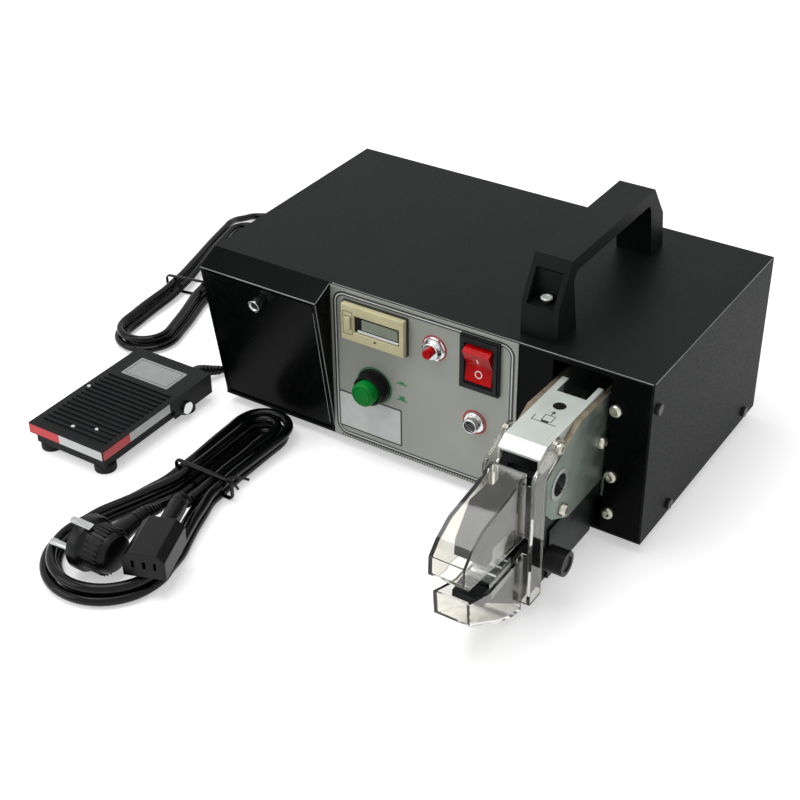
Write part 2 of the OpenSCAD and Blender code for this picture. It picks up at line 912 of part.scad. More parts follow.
module door_knob() {
  color("#c9cccc")
    door_place()
      difference() {
        union() {
          rod_y(-knob_off - knob_t, -knob_off, knob_x, knob_up, knob_d);
          rod_y(-knob_off - cut / 2, -gap, knob_x, knob_up, knob_neck_d);
          rod_y(-knob_off, knob_shank_in, knob_x, knob_up, knob_shank_d);
        }
        rod_y(-knob_off - knob_t - cut, -knob_off - knob_t + knob_dish, knob_x, knob_up,
          knob_neck_d);
      }
}

module storage_box() {
  color("#303436")
    difference() {
      box([hood_left + 2 * sheet, box_front_y, tray_top],
        [hood_right - 2 * sheet, box_back_y, box_top_z]);
      box([hood_left + 2 * sheet + box_sheet, box_front_y - cut, tray_top + box_sheet],
        [hood_right - 2 * sheet - box_sheet, box_back_y - box_sheet, box_top_z - box_sheet]);
    }
}

// Carry handle

module carry_handle() {
  y0 = handle_front_y;
  y1 = handle_back_y;
  z0 = roof_z;
  z1 = handle_top_z;
  x0 = handle_x - handle_w / 2;
  x1 = handle_x + handle_w / 2;
  color("#1b1d1e")
    difference() {
      slab_x(x0, x1, [
        [y0, z0], [y0, z0 + handle_face_share * handle_h], [y0 + handle_nose_share * handle_l, z1],
        [y1 - handle_tail_share * handle_l, z1],
        [y1 - handle_heel_share * handle_l, z0 + handle_face_share * handle_h + handle_bar / 3],
        [y1, z0]
      ]);
      slab_x(x0 - cut, x1 + cut, [
        [y0 + handle_leg, z0 - cut], [y0 + handle_leg_top, z1 - 1.6 * handle_bar],
        [y0 + handle_leg_top + handle_bar / 2, z1 - handle_bar],
        [y1 - handle_back_top - handle_bar / 3, z1 - handle_bar],
        [y1 - handle_back_top, z1 - 1.4 * handle_bar], [y1 - handle_back_leg, z0 - cut]
      ]);
      slab_x(handle_x - pocket_w / 2, handle_x + pocket_w / 2, [
        [y0 - cut, z0 + pocket_floor], [y0 + pocket_depth, z0 + pocket_floor],
        [y0 + pocket_depth, z1 - handle_bar], [y0 + pocket_depth / 2, z1], [y0 - cut, z1 + cut]
      ]);
      slab_x(handle_x - pocket_w / 2, handle_x + pocket_w / 2, [
        [y1 + cut, z0 + handle_boss_top], [y1 - pocket_depth, z0 + handle_boss_top],
        [y1 - pocket_depth, z1 - 3 * handle_bar], [y1 + cut, z1 - 3 * handle_bar]
      ]);
      rod_z(z0 - cut, z0 + pocket_floor + cut, handle_x, handle_screw_y, handle_shank_d + slip);
      rod_z(z0 - cut, z0 + handle_boss_top + cut, handle_x, handle_back_screw_y,
        handle_shank_d + slip);
    }
}

module screw_z(x, y, seat, d, t, shank_d, long) {
  difference() {
    union() {
      rod_z(seat, seat + t, x, y, d);
      rod_z(seat - long, seat + t / 2, x, y, shank_d);
    }
    rod_z(seat + t / 2, seat + t + cut, x, y, d / 2);
  }
}

module case_screws() {
  color("#3b3d3e") {
    for (side = [0, 1], s = [
      [screw_front_y, screw_up_high], [screw_mid_y, screw_low], [screw_back_y, screw_low]
    ])
      mirror([side, 0, 0]) {
        rod_x(right_x, right_x + screw_t, s[0], floor_z + s[1], screw_d);
        rod_x(right_x - 2 * sheet, right_x + screw_t / 2, s[0], floor_z + s[1],
          screw_shank_d);
      }
    screw_z(handle_x, handle_screw_y, roof_z + pocket_floor, handle_screw_d, handle_screw_t,
      handle_shank_d, pocket_floor + screw_bite);
    screw_z(handle_x, handle_back_screw_y, roof_z + handle_boss_top, handle_screw_d,
      handle_screw_t, handle_shank_d, handle_boss_top + screw_bite);
  }
}

module at_feet() {
  for (x = [left_x + foot_inset, right_x - foot_inset], y = [front_y + foot_inset, rear_y - foot_inset])
    translate([x, y, 0])
      children();
}

module feet() {
  color("#101112")
    at_feet()
      difference() {
        rod_z(0, floor_z, 0, 0, foot_d);
        rod_z(-cut, floor_z + cut, 0, 0, foot_hole_d);
      }
}

// Rear fittings

module power_inlet() {
  z = floor_z + inlet_up;
  well_w = inlet_w / 2 - inlet_wall;
  well_h = inlet_h / 2 - inlet_wall;
  well_y = rear_y - inlet_well;
  color("#161718") {
    difference() {
      union() {
        box([inlet_x - inlet_w / 2 - inlet_rim, rear_y, z - inlet_h / 2 - inlet_rim],
          [inlet_x + inlet_w / 2 + inlet_rim, rear_y + inlet_proud, z + inlet_h / 2 + inlet_rim]);
        box([inlet_x - inlet_w / 2, rear_y - inlet_depth, z - inlet_h / 2],
          [inlet_x + inlet_w / 2, rear_y + inlet_proud / 2, z + inlet_h / 2]);
      }
      box([inlet_x - well_w, rear_y - inlet_well, z - well_h],
        [inlet_x + well_w, rear_y + inlet_proud + cut, z + well_h]);
    }
    for (i = [-1, 0, 1])
      translate([inlet_x + i * inlet_pin_pitch, well_y, z])
        box([-inlet_pin_t / 2, -cut, -inlet_pin_w / 2],
          [inlet_pin_t / 2, inlet_pin, inlet_pin_w / 2]);
  }
}

module pedal_socket() {
  z = floor_z + socket_up;
  color("#9fa2a3")
    union() {
      rod_y(rear_y, rear_y + socket_proud, socket_x, z, socket_flange_d);
      rod_y(rear_y - socket_depth, rear_y + socket_proud / 2, socket_x, z, socket_d);
      rod_y(rear_y, rear_y + socket_proud + socket_pin, socket_x, z, socket_pin_d);
    }
}

// Controls

module counter_case() {
  z = floor_z + counter_up;
  front = panel_y - counter_proud;
  color("#c9c19c")
    difference() {
      union() {
        box([counter_x - counter_w / 2, front, z - counter_h / 2],
          [counter_x + counter_w / 2, panel_y, z + counter_h / 2]);
        box([counter_x - counter_body_w / 2, panel_y - cut, z - counter_body_h / 2],
          [counter_x + counter_body_w / 2, panel_y + counter_depth, z + counter_body_h / 2]);
      }
      box([window_x - window_w / 2, front - cut, window_z - window_h / 2],
        [window_x + window_w / 2, front + window_in, window_z + window_h / 2]);
      box([key_x - key_w / 2 - gap, front - cut, z - key_h / 2 - gap],
        [key_x + key_w / 2 + gap, front + key_depth + key_travel, z + key_h / 2 + gap]);
    }
}

module counter_key() {
  z = floor_z + counter_up;
  front = panel_y - counter_proud;
  color("#d8d2b4")
    box([key_x - key_w / 2, front - key_proud, z - key_h / 2],
      [key_x + key_w / 2, front + key_depth - gap, z + key_h / 2]);
}

rocker_axis_y = panel_y + rocker_in;
function rocker_reach(out) = sqrt(pow(rocker_cap_h / 2 - gap, 2) - pow(out, 2));

module rocker_housing() {
  z = floor_z + rocker_up;
  front = panel_y - rocker_proud;
  color("#141516")
    difference() {
      union() {
        box([rocker_x - rocker_w / 2, front, z - rocker_h / 2],
          [rocker_x + rocker_w / 2, panel_y, z + rocker_h / 2]);
        box([rocker_x - rocker_body_w / 2, panel_y - cut, z - rocker_body_h / 2],
          [rocker_x + rocker_body_w / 2, panel_y + rocker_depth, z + rocker_body_h / 2]);
      }
      box([rocker_x - rocker_cap_w / 2 - gap, front - cut, z - rocker_cap_h / 2 - gap],
        [rocker_x + rocker_cap_w / 2 + gap, panel_y + rocker_depth - rocker_proud,
          z + rocker_cap_h / 2 + gap]);
      rod_x(rocker_x - rocker_body_w / 2 + cut, rocker_x + rocker_body_w / 2 - cut, rocker_axis_y, z,
        rocker_axle_d + 2 * run_fit);
    }
}

module rocker_cap() {
  z = floor_z + rocker_up;
  front = panel_y - rocker_proud;
  lip = rocker_axis_y - front + rocker_bulge;
  tall = rocker_reach(lip);
  mid = rocker_reach(lip / 2);
  axle = rocker_body_w / 2 - cut - gap;
  color("#b3151b")
    translate([0, rocker_axis_y, z])
      rotate([rocker_angle, 0, 0])
        translate([0, -rocker_axis_y, -z])
          union() {
            slab_x(rocker_x - rocker_cap_w / 2, rocker_x + rocker_cap_w / 2, [
              [front + rocker_hollow, z], [rocker_axis_y - lip, z + tall],
              [rocker_axis_y - lip / 2, z + mid], [rocker_axis_y, z + rocker_reach(0)],
              [rocker_axis_y + lip, z], [rocker_axis_y, z - rocker_reach(0)],
              [rocker_axis_y - lip / 2, z - mid], [rocker_axis_y - lip, z - tall]
            ]);
            rod_x(rocker_x - axle, rocker_x + axle, rocker_axis_y, z, rocker_axle_d);
          }
}

module button_collar() {
  z = floor_z + button_up;
  color("#101211")
    difference() {
      union() {
        rod_y(panel_y - collar_flange, panel_y, button_x, z, collar_d);
        rod_y(panel_y - collar_barrel, panel_y, button_x, z, collar_barrel_d);
        rod_y(panel_y - cut, panel_y + button_depth, button_x, z, button_body_d);
      }
      rod_y(panel_y - collar_barrel - cut, panel_y - cut, button_x, z, button_d + 2 * slip);
      rod_y(panel_y - 2 * cut, panel_y + button_depth - cut, button_x, z, button_stem_d + 2 * slip);
    }
}

module push_button() {
  z = floor_z + button_up;
  tip = panel_y - button_out;
  color("#0f8a3c")
    union() {
      rod_y(tip + button_edge, tip + button_cap, button_x, z, button_d);
      translate([button_x, tip, z])
        rotate([-90, 0, 0])
          cylinder(h = button_edge, d1 = button_d - 2 * button_edge, d2 = button_d);
      rod_y(tip + button_cap - cut, tip + button_cap + button_stem, button_x, z, button_stem_d);
    }
}

module breaker_body() {
  z = floor_z + breaker_up;
  color("#b9bcbd")
    difference() {
      union() {
        rod_y(panel_y - breaker_bush, front_y + sheet, breaker_x, z, breaker_bush_d);
        translate([breaker_x, panel_y - breaker_nut_t, z])
          rotate([-90, 0, 0])
            cylinder(h = breaker_nut_t, d = breaker_nut_w / cos(30), $fn = 6);
        box([breaker_x - breaker_body_w / 2, in_front, z - breaker_body_w / 2],
          [breaker_x + breaker_body_w / 2, in_front + breaker_depth, z + breaker_body_w / 2]);
      }
      rod_y(panel_y - breaker_bush - cut, in_front + breaker_stem, breaker_x, z,
        breaker_button_d + 2 * slip);
    }
}

module breaker_button() {
  z = floor_z + breaker_up;
  color("#b3151b")
    rod_y(panel_y - breaker_button_out, in_front + breaker_stem - breaker_travel - gap, breaker_x, z,
      breaker_button_d);
}

module lamp_bezel() {
  z = floor_z + lamp_up;
  color("#b9bcbd")
    union() {
      rod_y(panel_y - lamp_flange, panel_y, lamp_x, z, lamp_flange_d);
      rod_y(panel_y - lamp_tube, panel_y, lamp_x, z, lamp_tube_d);
      rod_y(panel_y - cut, panel_y + lamp_depth, lamp_x, z, lamp_body_d);
      rod_y(panel_y - lamp_tube - lamp_eye, panel_y, lamp_x, z, lamp_eye_d);
    }
}

// Drive

gear_x = plate_in_left - plate_t - bracket_t;

module motor() {
  x1 = gear_x - gearbox_l;
  color("#5c6062")
    union() {
      rod_x(x1 - motor_l, x1, cam_y, mouth_z, motor_d);
      rod_x(x1 - motor_l - bracket_t, x1 - motor_l + cut, cam_y, mouth_z, motor_boss_d);
    }
}

module gearbox() {
  color("#8e9293")
    difference() {
      box([gear_x - gearbox_l, cam_y - gearbox_side / 2, mouth_z - gearbox_rise / 2],
        [gear_x, cam_y + gearbox_side / 2, mouth_z + gearbox_rise / 2]);
      rod_x(gear_x - gear_bore_l, gear_x + cut, cam_y, mouth_z, shaft_d + 2 * run_fit);
    }
}

module drive_bracket() {
  right = plate_in_right + plate_t;
  color("#6d7173")
    difference() {
      union() {
        box([gear_x - bracket_rim, cam_y - bracket_l / 2, tray_top],
          [right + bracket_t + bracket_rim, cam_y + bracket_l / 2, tray_top + bracket_t]);
        for (x = [gear_x, right])
          box([x, cam_y - bracket_l / 2, tray_top],
            [x + bracket_t, cam_y + bracket_l / 2, tray_top + bracket_t + bracket_rise]);
      }
      rod_x(gear_x - cut, right + bracket_t + cut, cam_y, mouth_z, bracket_hole);
      rod_x(gear_x + cut, right + bracket_t + cut, front_bolt_y, low_bolt_z, bolt_shank_d);
    }
}

// Radius of the roller's path over the cam: an even rise, a short dwell and a steep fall
function path_r(b) = cam_r + nose_r + stroke * (
  b <= cam_turn ? b / cam_turn
  : b <= cam_turn + cam_dwell / 2 ? 1
  : b <= 360 - cam_dwell / 2 ? (360 - cam_dwell / 2 - b) / (360 - cam_dwell - cam_turn)
  : 0
);

module cam_shaft() {
  path = [for (b = [355 : -5 : 0]) [cam_y - path_r(b) * cos(b), mouth_z + path_r(b) * sin(b)]];
  color("#b4b8ba")
    union() {
      slab_x(head_x - cam_t / 2, head_x + cam_t / 2, inset(path, nose_r));
      rod_x(gear_x - gear_bore_l + gap, plate_in_right + plate_t + bracket_t - gap, cam_y,
        mouth_z, shaft_d);
    }
}

module shaft_bushes() {
  color("#a5863f")
    for (side = [0, 1])
      translate([head_x, 0, 0])
        mirror([side, 0, 0])
          difference() {
            union() {
              rod_x(-head_gap / 2 - plate_t - bush_extra, -head_gap / 2 + bush_flange,
                cam_y, mouth_z, bush_d);
              rod_x(-head_gap / 2, -head_gap / 2 + bush_flange, cam_y, mouth_z,
                bush_flange_d);
            }
            rod_x(-head_gap / 2 - plate_t - bush_extra - cut,
              -head_gap / 2 + bush_flange + cut, cam_y, mouth_z, shaft_d + 2 * run_fit);
          }
}

module ram() {
  root = wedge_tip + tan(wedge_slope) * wedge_l;
  color("#a9adaf")
    union() {
      slab_x(head_x - wedge_w / 2, head_x + wedge_w / 2, [
        [wedge_tip_y, mouth_z - wedge_tip], [wedge_root_y, mouth_z - root],
        [wedge_root_y + cut, mouth_z - root], [wedge_root_y + cut, mouth_z + root],
        [wedge_root_y, mouth_z + root], [wedge_tip_y, mouth_z + wedge_tip]
      ]);
      rod_y(wedge_root_y, collar_y, head_x, mouth_z, ram_d);
      rod_y(collar_front_y, collar_y, head_x, mouth_z, collar_ram_d);
      box([head_x - nose_w / 2, collar_y - cut, mouth_z - nose_r],
        [head_x + nose_w / 2, nose_y, mouth_z + nose_r]);
      rod_x(head_x - nose_w / 2, head_x + nose_w / 2, nose_y, mouth_z, 2 * nose_r);
    }
}

module return_spring() {
  color("#8d9193")
    difference() {
      rod_y(block_back_y, collar_front_y, head_x, mouth_z, spring_out_d);
      rod_y(block_back_y - cut, collar_front_y + cut, head_x, mouth_z, spring_in_d);
    }
}

module circuit_board() {
  z = tray_top + board_up;
  color("#1f5a35")
    union() {
      box([board_x - board_w / 2, board_y - board_d / 2, z],
        [board_x + board_w / 2, board_y + board_d / 2, z + board_t]);
      for (i = [-1, 1], j = [-1, 1])
        rod_z(tray_top, z + cut, board_x + i * (board_w / 2 - post_in),
          board_y + j * (board_d / 2 - post_in), post_d);
      for (p = part_places)
        box([board_x + p[0], board_y + p[1], z + board_t - cut],
          [board_x + p[0] + p[2], board_y + p[1] + p[3], z + board_t + p[4]]);
      rod_z(z + board_t - cut, z + board_t + capacitor_h, board_x + capacitor_x,
        board_y - capacitor_x, capacitor_d);
    }
}

// Head

module head_plate(x) {
  z = mouth_z - 6;
  difference() {
    slab_x(x, x + plate_t, [
      [plate_back_y, plate_top], [front_y, plate_top], [hump_y, plate_top + plate_hump],
      [shoulder_y, plate_top - shoulder_drop], [plate_front_y, plate_top - brow_drop],
      [plate_front_y, z + lip_rise], [jowl_y, z + jowl_rise], [chin_y, z], [plate_step_y, z],
      [plate_step_y, floor_z + plate_low], [plate_back_y, floor_z + plate_low]
    ]);
    rod_x(x - cut, x + plate_t + cut, pivot_y, upper_z, upper_pin_d);
    rod_x(x - cut, x + plate_t + cut, cam_y, mouth_z, bush_d);
    rod_x(x - cut, x + plate_t + cut, front_bolt_y, low_bolt_z, bolt_shank_d);
    rod_x(x - cut, x + plate_t + cut, chin_bolt_y, chin_bolt_z, bolt_shank_d);
    rod_x(x - cut, x + plate_t + cut, bolt_y, bolt_z, bolt_shank_d);
  }
}

module head_plate_left() {
  color("#7f888f")
    head_plate(plate_in_left - plate_t);
}

module head_plate_right() {
  color("#7f888f")
    head_plate(plate_in_right);
}

module head_body() {
  cheek = head_gap / 2 - jaw_t / 2 - cheek_gap;
  color("#17191a")
    difference() {
      union() {
        for (side = [0, 1])
          translate([head_x, 0, 0])
            mirror([side, 0, 0]) {
              box([jaw_t / 2 + cheek_gap, body_front_y, body_bottom],
                [jaw_t / 2 + cheek_gap + cheek, block_back_y, body_top]);
              box([jaw_t / 2 + cheek_gap, body_front_y + 10, body_bottom],
                [body_half, block_front_y + 4, body_seam]);
            }
        box([plate_in_left, block_front_y, body_bottom],
          [plate_in_right, block_back_y, body_top]);
        box([plate_in_left, body_web_y, body_bottom],
          [plate_in_right, block_back_y, body_bottom + body_web]);
        slab_x(head_x - nose_half, head_x + nose_half, [
          [nose_front_y, body_top - cut], [nose_back_y, body_top - cut],
          [nose_back_y, nose_top], [cover_bend_y, nose_top], [nose_front_y, nose_front_top]
        ]);
      }
      rod_y(wedge_root_y - stroke - gap, block_back_y + cut, head_x, mouth_z, ram_d + 2 * run_fit);
      rod_x(head_x - body_half - cut, head_x + body_half + cut, pivot_y, upper_z, upper_pin_d);
      rod_x(head_x - body_half - cut, head_x + body_half + cut, pivot_y, lower_z, lower_pin_d);
      rod_x(head_x - body_half - cut, head_x + body_half + cut, guard_axis_y, guard_axis_z,
        guard_pin_d);
      rod_x(head_x, head_x + body_half + cut, lock_y, lock_z, lock_shank_d + 2 * slip);
      rod_x(head_x - body_half - cut, head_x + body_half + cut, bolt_y, bolt_z, bolt_shank_d);
      rod_x(head_x - body_half - cut, head_x + body_half + cut, chin_bolt_y, chin_bolt_z,
        bolt_shank_d);
    }
}

module head_cover() {
  w = head_gap;
  color("#b9bec0")
    difference() {
      union() {
        box([head_x - w / 2, cover_bend_y, cover_top - sheet],
          [head_x + w / 2, cover_back_y, cover_top]);
        slab_x(head_x - w / 2, head_x + w / 2, [
          [cover_bend_y, cover_top], [cover_front_y, cover_top - cover_dip],
          [cover_front_y, cover_top - cover_dip - sheet], [cover_bend_y, cover_top - sheet]
        ]);
        for (x = [head_x - w / 2, head_x + w / 2 - sheet])
          slab_x(x, x + sheet, [
            [cover_back_y, cover_top], [cover_bend_y, cover_top],
            [cover_front_y, cover_top - cover_dip],
            [cover_front_y, cover_top - cover_flange], [cover_back_y, cover_top - cover_flange]
          ]);
      }
      box([cover_slot_x - cover_slot_w / 2, cover_slot_y, cover_top - sheet - cut],
        [cover_slot_x + cover_slot_w / 2, cover_back_y + cut, cover_top + cut]);
      rod_z(cover_top - sheet - cut, cover_top + cut, head_x, cover_hole_y, cover_hole_d);
      rod_x(head_x - w, head_x + w, guard_axis_y, guard_axis_z, guard_pin_d);
    }
}

module jaw_body(z, way, shares, pin_d) {
  difference() {
    union() {
      opened(z, way)
        slab_x(jaw_left, jaw_right, forward(shares, pivot_y, mouth_z, jaw_reach, pivot_rise));
      rod_x(jaw_left + boss_step, jaw_right - boss_step, pivot_y, z, 2 * boss_r);
      rod_x(head_x - wedge_w / 2, head_x + wedge_w / 2, pad_y, mouth_z + way * (pad_z - mouth_z),
        2 * pad_r);
    }
    rod_x(jaw_left - cut, jaw_right + cut, pivot_y, z, pin_d + 2 * run_fit);
    opened(z, way)
      box([jaw_left - cut, front_y - pivot_out - die_far - cut, mouth_z - die_seat],
        [jaw_right + cut, front_y - pivot_out - die_far + die_l, mouth_z + die_seat]);
  }
}

module upper_jaw() {
  color("#1c1e1f")
    jaw_body(upper_z, 1, upper_jaw_shares, upper_pin_d);
}

module lower_jaw() {
  color("#1c1e1f")
    jaw_body(lower_z, -1, lower_jaw_shares, lower_pin_d);
}

module die(z, way) {
  front = pivot_y - die_far;
  opened(z, way)
    difference() {
      box([jaw_left, front, min(mouth_z + way * die_gap, mouth_z + way * die_seat)],
        [jaw_right, front + die_l, max(mouth_z + way * die_gap, mouth_z + way * die_seat)]);
      for (i = [0 : len(nest_d) - 1])
        rod_x(jaw_left - cut, jaw_right + cut, front + nest_shares[i] * die_l, mouth_z, nest_d[i]);
    }
}

module upper_die() {
  color("#2a2d2e")
    die(upper_z, 1);
}

module lower_die() {
  color("#2a2d2e")
    die(lower_z, -1);
}

module jaw_pins() {
  color("#c4c8ca") {
    difference() {
      rod_x(plate_in_left - plate_t - cut / 2, plate_in_right + plate_t + cut / 2, pivot_y,
        upper_z, upper_pin_d);
      rod_x(plate_in_left - plate_t - cut, plate_in_right + plate_t + cut, pivot_y, upper_z,
        upper_pin_bore);
    }
    rod_x(head_x - body_half - cut / 2, head_x + body_half + cut / 2, pivot_y, lower_z, lower_pin_d);
  }
}

module head_bolts() {
  right = plate_in_right + plate_t;
  color("#9b9fa1") {
    for (side = [0, 1])
      translate([head_x, 0, 0])
        mirror([side, 0, 0]) {
          rod_x(right - head_x, right - head_x + bolt_t, bolt_y, bolt_z, bolt_d);
          rod_x(right - head_x - bolt_len, right - head_x + cut, bolt_y, bolt_z,
            bolt_shank_d);
          rod_x(right - head_x, right - head_x + bolt_t, chin_bolt_y, chin_bolt_z, bolt_d);
          rod_x(right - head_x - bolt_len, right - head_x + cut, chin_bolt_y, chin_bolt_z,
            bolt_shank_d);
          rod_x(guard_wing_half + gap, guard_wing_half + gap + guard_pin_head,
            guard_axis_y, guard_axis_z, guard_pin_head_d);
          rod_x(guard_pin_end, guard_wing_half + gap + cut, guard_axis_y, guard_axis_z,
            guard_pin_d);
        }
    rod_x(right + bracket_t, right + bracket_t + bolt_t, front_bolt_y, low_bolt_z, bolt_d);
    rod_x(plate_in_right, right + bracket_t + cut, front_bolt_y, low_bolt_z, bolt_shank_d);
    rod_x(plate_in_left - bolt_t, plate_in_left, front_bolt_y, low_bolt_z, bolt_shank_d);
    for (z = panel_bolt_zs) {
      rod_y(front_y - bolt_t, front_y, panel_bolt_x, z, bolt_d);
      rod_y(front_y - cut, front_y + bolt_len, panel_bolt_x, z, bolt_shank_d);
    }
  }
}

module lock_knob() {
  x = head_x + guard_wing_half + 2 * gap;
  color("#111213")
    difference() {
      union() {
        rod_x(x, x + lock_l, lock_y, lock_z, lock_d);
        rod_x(plate_in_right + gap, x + cut, lock_y, lock_z, lock_neck_d);
        rod_x(plate_in_right - lock_shank, x + cut, lock_y, lock_z, lock_shank_d);
      }
      rod_x(x + lock_l - lock_dish, x + lock_l + cut, lock_y, lock_z, lock_dish_d);
    }
}

// Guard

module guard() {
  upper = forward(guard_upper_shares, guard_back_y, guard_low, guard_reach, guard_rise);
  lower = forward(guard_lower_shares, guard_back_y, guard_low, guard_reach, guard_rise);
  ear = [guard_axis_y, guard_axis_z];
  foot = ear - strip_foot;
  side = guard_ear_r * turned(unit(foot - ear));
  color([0.9, 0.88, 0.82, 0.45])
    difference() {
      union() {
        for (x = [head_x - guard_half, head_x + guard_half - guard_t]) {
          slab_x(x, x + guard_t, upper);
          slab_x(x, x + guard_t, lower);
        }
        difference() {
          slab_x(head_x - guard_half, head_x + guard_half, upper);
          slab_x(head_x - guard_half - cut, head_x + guard_half + cut,
            skin_core(upper, 0, 6, 2 * guard_t * [1, -1]));
        }
        difference() {
          slab_x(head_x - guard_half, head_x + guard_half, lower);
          slab_x(head_x - guard_half - cut, head_x + guard_half + cut,
            skin_core(lower, 2, 6, 2 * guard_t * [1, 1]));
        }
        for (end = [0, 1])
          translate([head_x, 0, 0])
            mirror([end, 0, 0]) {
              box([guard_half - guard_t, guard_back_y, strip_low],
                [guard_wing_half, guard_back_y + guard_t, mouth_low]);
              box([guard_half - guard_t, guard_back_y, mouth_high],
                [guard_wing_half, guard_back_y + guard_t, strip_high]);
              box([guard_wing_in, guard_back_y, strip_low],
                [guard_wing_half, guard_back_y + strip_w, strip_high]);
              slab_x(guard_wing_in, guard_wing_half, [
                ear + side, foot + side, foot - side, ear - side
              ]);
              rod_x(guard_wing_in, guard_wing_half, ear[0], ear[1], 2 * guard_ear_r);
              rod_x(guard_wing_in, guard_wing_half, foot[0], foot[1], 2 * guard_ear_r);
            }
      }
      rod_x(head_x - guard_wing_half - cut, head_x + guard_wing_half + cut, ear[0], ear[1],
        guard_pin_d + 2 * run_fit);
    }
}

// Foot pedal

module pedal_base() {
  x0 = pedal_x - pedal_w / 2 + base_inset;
  x1 = pedal_x + pedal_w / 2 - base_inset;
  y0 = pedal_front_y + base_inset;
  y1 = pedal_back_y - base_inset;
  color("#1d2022")
    difference() {
      union() {
        difference() {
          box([x0, y0, base_low], [x1, y1, base_low + base_h]);
          box([x0 + base_wall, y0 + base_wall, base_low + base_wall],
            [x1 - base_wall, y1 - base_wall, base_low + base_h + cut]);
        }
        box([gland_x - gland_wall / 2, y1 - base_wall, base_low],
          [gland_x + gland_wall / 2, y1, gland_z + gland_wall / 2]);
        rod_y(y1 - base_wall, pedal_back_y + gland_l, gland_x, gland_z, gland_d);
      }
      rod_x(x0 - cut, x1 + cut, pedal_pivot_y, pedal_pivot_z, pedal_pin_d);
    }
}

module pedal_treadle() {
  x0 = pedal_x - pedal_w / 2;
  x1 = pedal_x + pedal_w / 2;
  color("#202325")
    difference() {
      union() {
        box([x0, pedal_front_y, pedal_h - skirt], [x1, pedal_back_y, pedal_h]);
        box([x0, pedal_back_y - ear_l, pedal_h - ear_skirt], [x1, pedal_back_y, pedal_h]);
        for (i = [0 : rib_count - 1])
          box([x0 + rib_margin, pedal_front_y + rib_start + i * rib_pitch, pedal_h - cut],
            [x1 - rib_margin, pedal_front_y + rib_start + i * rib_pitch + rib_t,
              pedal_h + rib_h]);
      }
      box([x0 + pedal_wall, pedal_front_y + pedal_wall, -cut],
        [x1 - pedal_wall, pedal_back_y - pedal_wall, pedal_h - pedal_top_t]);
      box([gland_x - gland_wall / 2 - gap, pedal_back_y - 2 * pedal_wall, -cut],
        [gland_x + gland_wall / 2 + gap, pedal_back_y + cut, gland_z + gland_wall / 2 + cut]);
      rod_x(x0 - cut, x1 + cut, pedal_pivot_y, pedal_pivot_z, pedal_pin_d + 2 * run_fit);
    }
}

module pedal_pin() {
  x0 = pedal_x - pedal_w / 2 - gap;
  x1 = pedal_x + pedal_w / 2 + gap;
  color("#c4c8ca")
    union() {
      rod_x(x0 - cut, x1 + cut, pedal_pivot_y, pedal_pivot_z, pedal_pin_d);
      rod_x(x0 - pedal_pin_head, x0, pedal_pivot_y, pedal_pivot_z, pedal_pin_head_d);
      rod_x(x1, x1 + pedal_pin_head, pedal_pivot_y, pedal_pivot_z, pedal_pin_head_d);
    }
}

module pedal_feet() {
  reach = pedal_w / 2 - pedal_foot_in;
  color("#101112")
    for (x = [pedal_x - reach, pedal_x + reach],
      y = [pedal_front_y + pedal_foot_front, pedal_back_y - pedal_foot_back])
      rod_z(0, base_low, x, y, pedal_foot_d);
}

module pedal_switch() {
  z = base_low + base_wall;
  color("#2b2d2f")
    union() {
      box([pedal_x - switch_w / 2, switch_y - switch_l / 2, z],
        [pedal_x + switch_w / 2, switch_y + switch_l / 2, z + switch_h]);
      rod_z(z + switch_h - cut, z + switch_h + switch_button, pedal_x, switch_y, switch_button_d);
    }
}

// Cords

pedal_last = len(pedal_hank) - 1;
mains_last = len(mains_hank) - 1;
socket_z = floor_z + socket_up;
plug_face_y = rear_y + socket_proud;
cord_plug_end = plug_face_y + cord_plug_l + cord_plug_neck;
pedal_lead = smooth_route(concat(pedal_lead_route, [
  beyond(pedal_hank[0], pedal_hank[1], pedal_cord_d), pedal_hank[0]
]), 5);
pedal_run = smooth_route(concat([
  pedal_hank[pedal_last], beyond(pedal_hank[pedal_last], pedal_hank[pedal_last - 1], pedal_cord_d)
], pedal_run_route, [[socket_x, cord_plug_end, socket_z]]), 5);
plug_end = smooth_route(concat([
  mains_hank[0], beyond(mains_hank[0], mains_hank[1], mains_cord_d)
], plug_end_route, [[plug_neck_x, plug_neck_y, plug_z]]), 5);
connector_end = smooth_route(concat([
  mains_hank[mains_last], beyond(mains_hank[mains_last], mains_hank[mains_last - 1], mains_cord_d)
], connector_end_route, [
  connector_at([0, connector_l / 2 + connector_neck + mains_cord_d]),
  connector_at([0, connector_l / 2 + connector_neck + gap])
]), 5);
function connector_at(p) = [
  connector_x + p[0] * cos(connector_turn) - p[1] * sin(connector_turn),
  connector_y + p[0] * sin(connector_turn) + p[1] * cos(connector_turn),
  connector_z
];
echo("length of the pedal cord's free stretches", line_length(pedal_lead), line_length(pedal_run));
echo("length of the mains lead's free stretches", line_length(plug_end), line_length(connector_end));

module pedal_cord_hank() {
  color("#141516")
    tube(pedal_hank, pedal_cord_d, 6);
}

module pedal_cord_lead() {
  color("#141516")
    tube(pedal_lead, pedal_cord_d, 8);
}

module pedal_cord_run() {
  color("#141516")
    tube(pedal_run, pedal_cord_d, 8);
}

module pedal_cord_plug() {
  color("#1b1c1d")
    difference() {
      union() {
        rod_y(plug_face_y, plug_face_y + cord_plug_l, socket_x, socket_z, cord_plug_d);
        rod_y(plug_face_y, cord_plug_end, socket_x, socket_z, cord_plug_neck_d);
      }
      rod_y(plug_face_y - cut, plug_face_y + socket_pin, socket_x, socket_z, socket_pin_d);
    }
}

module mains_cord_hank() {
  color("#0e0f10")
    tube(mains_hank, mains_cord_d, 6);
}

module plug_cord_end() {
  color("#0e0f10")
    tube(plug_end, mains_cord_d, 8);
}

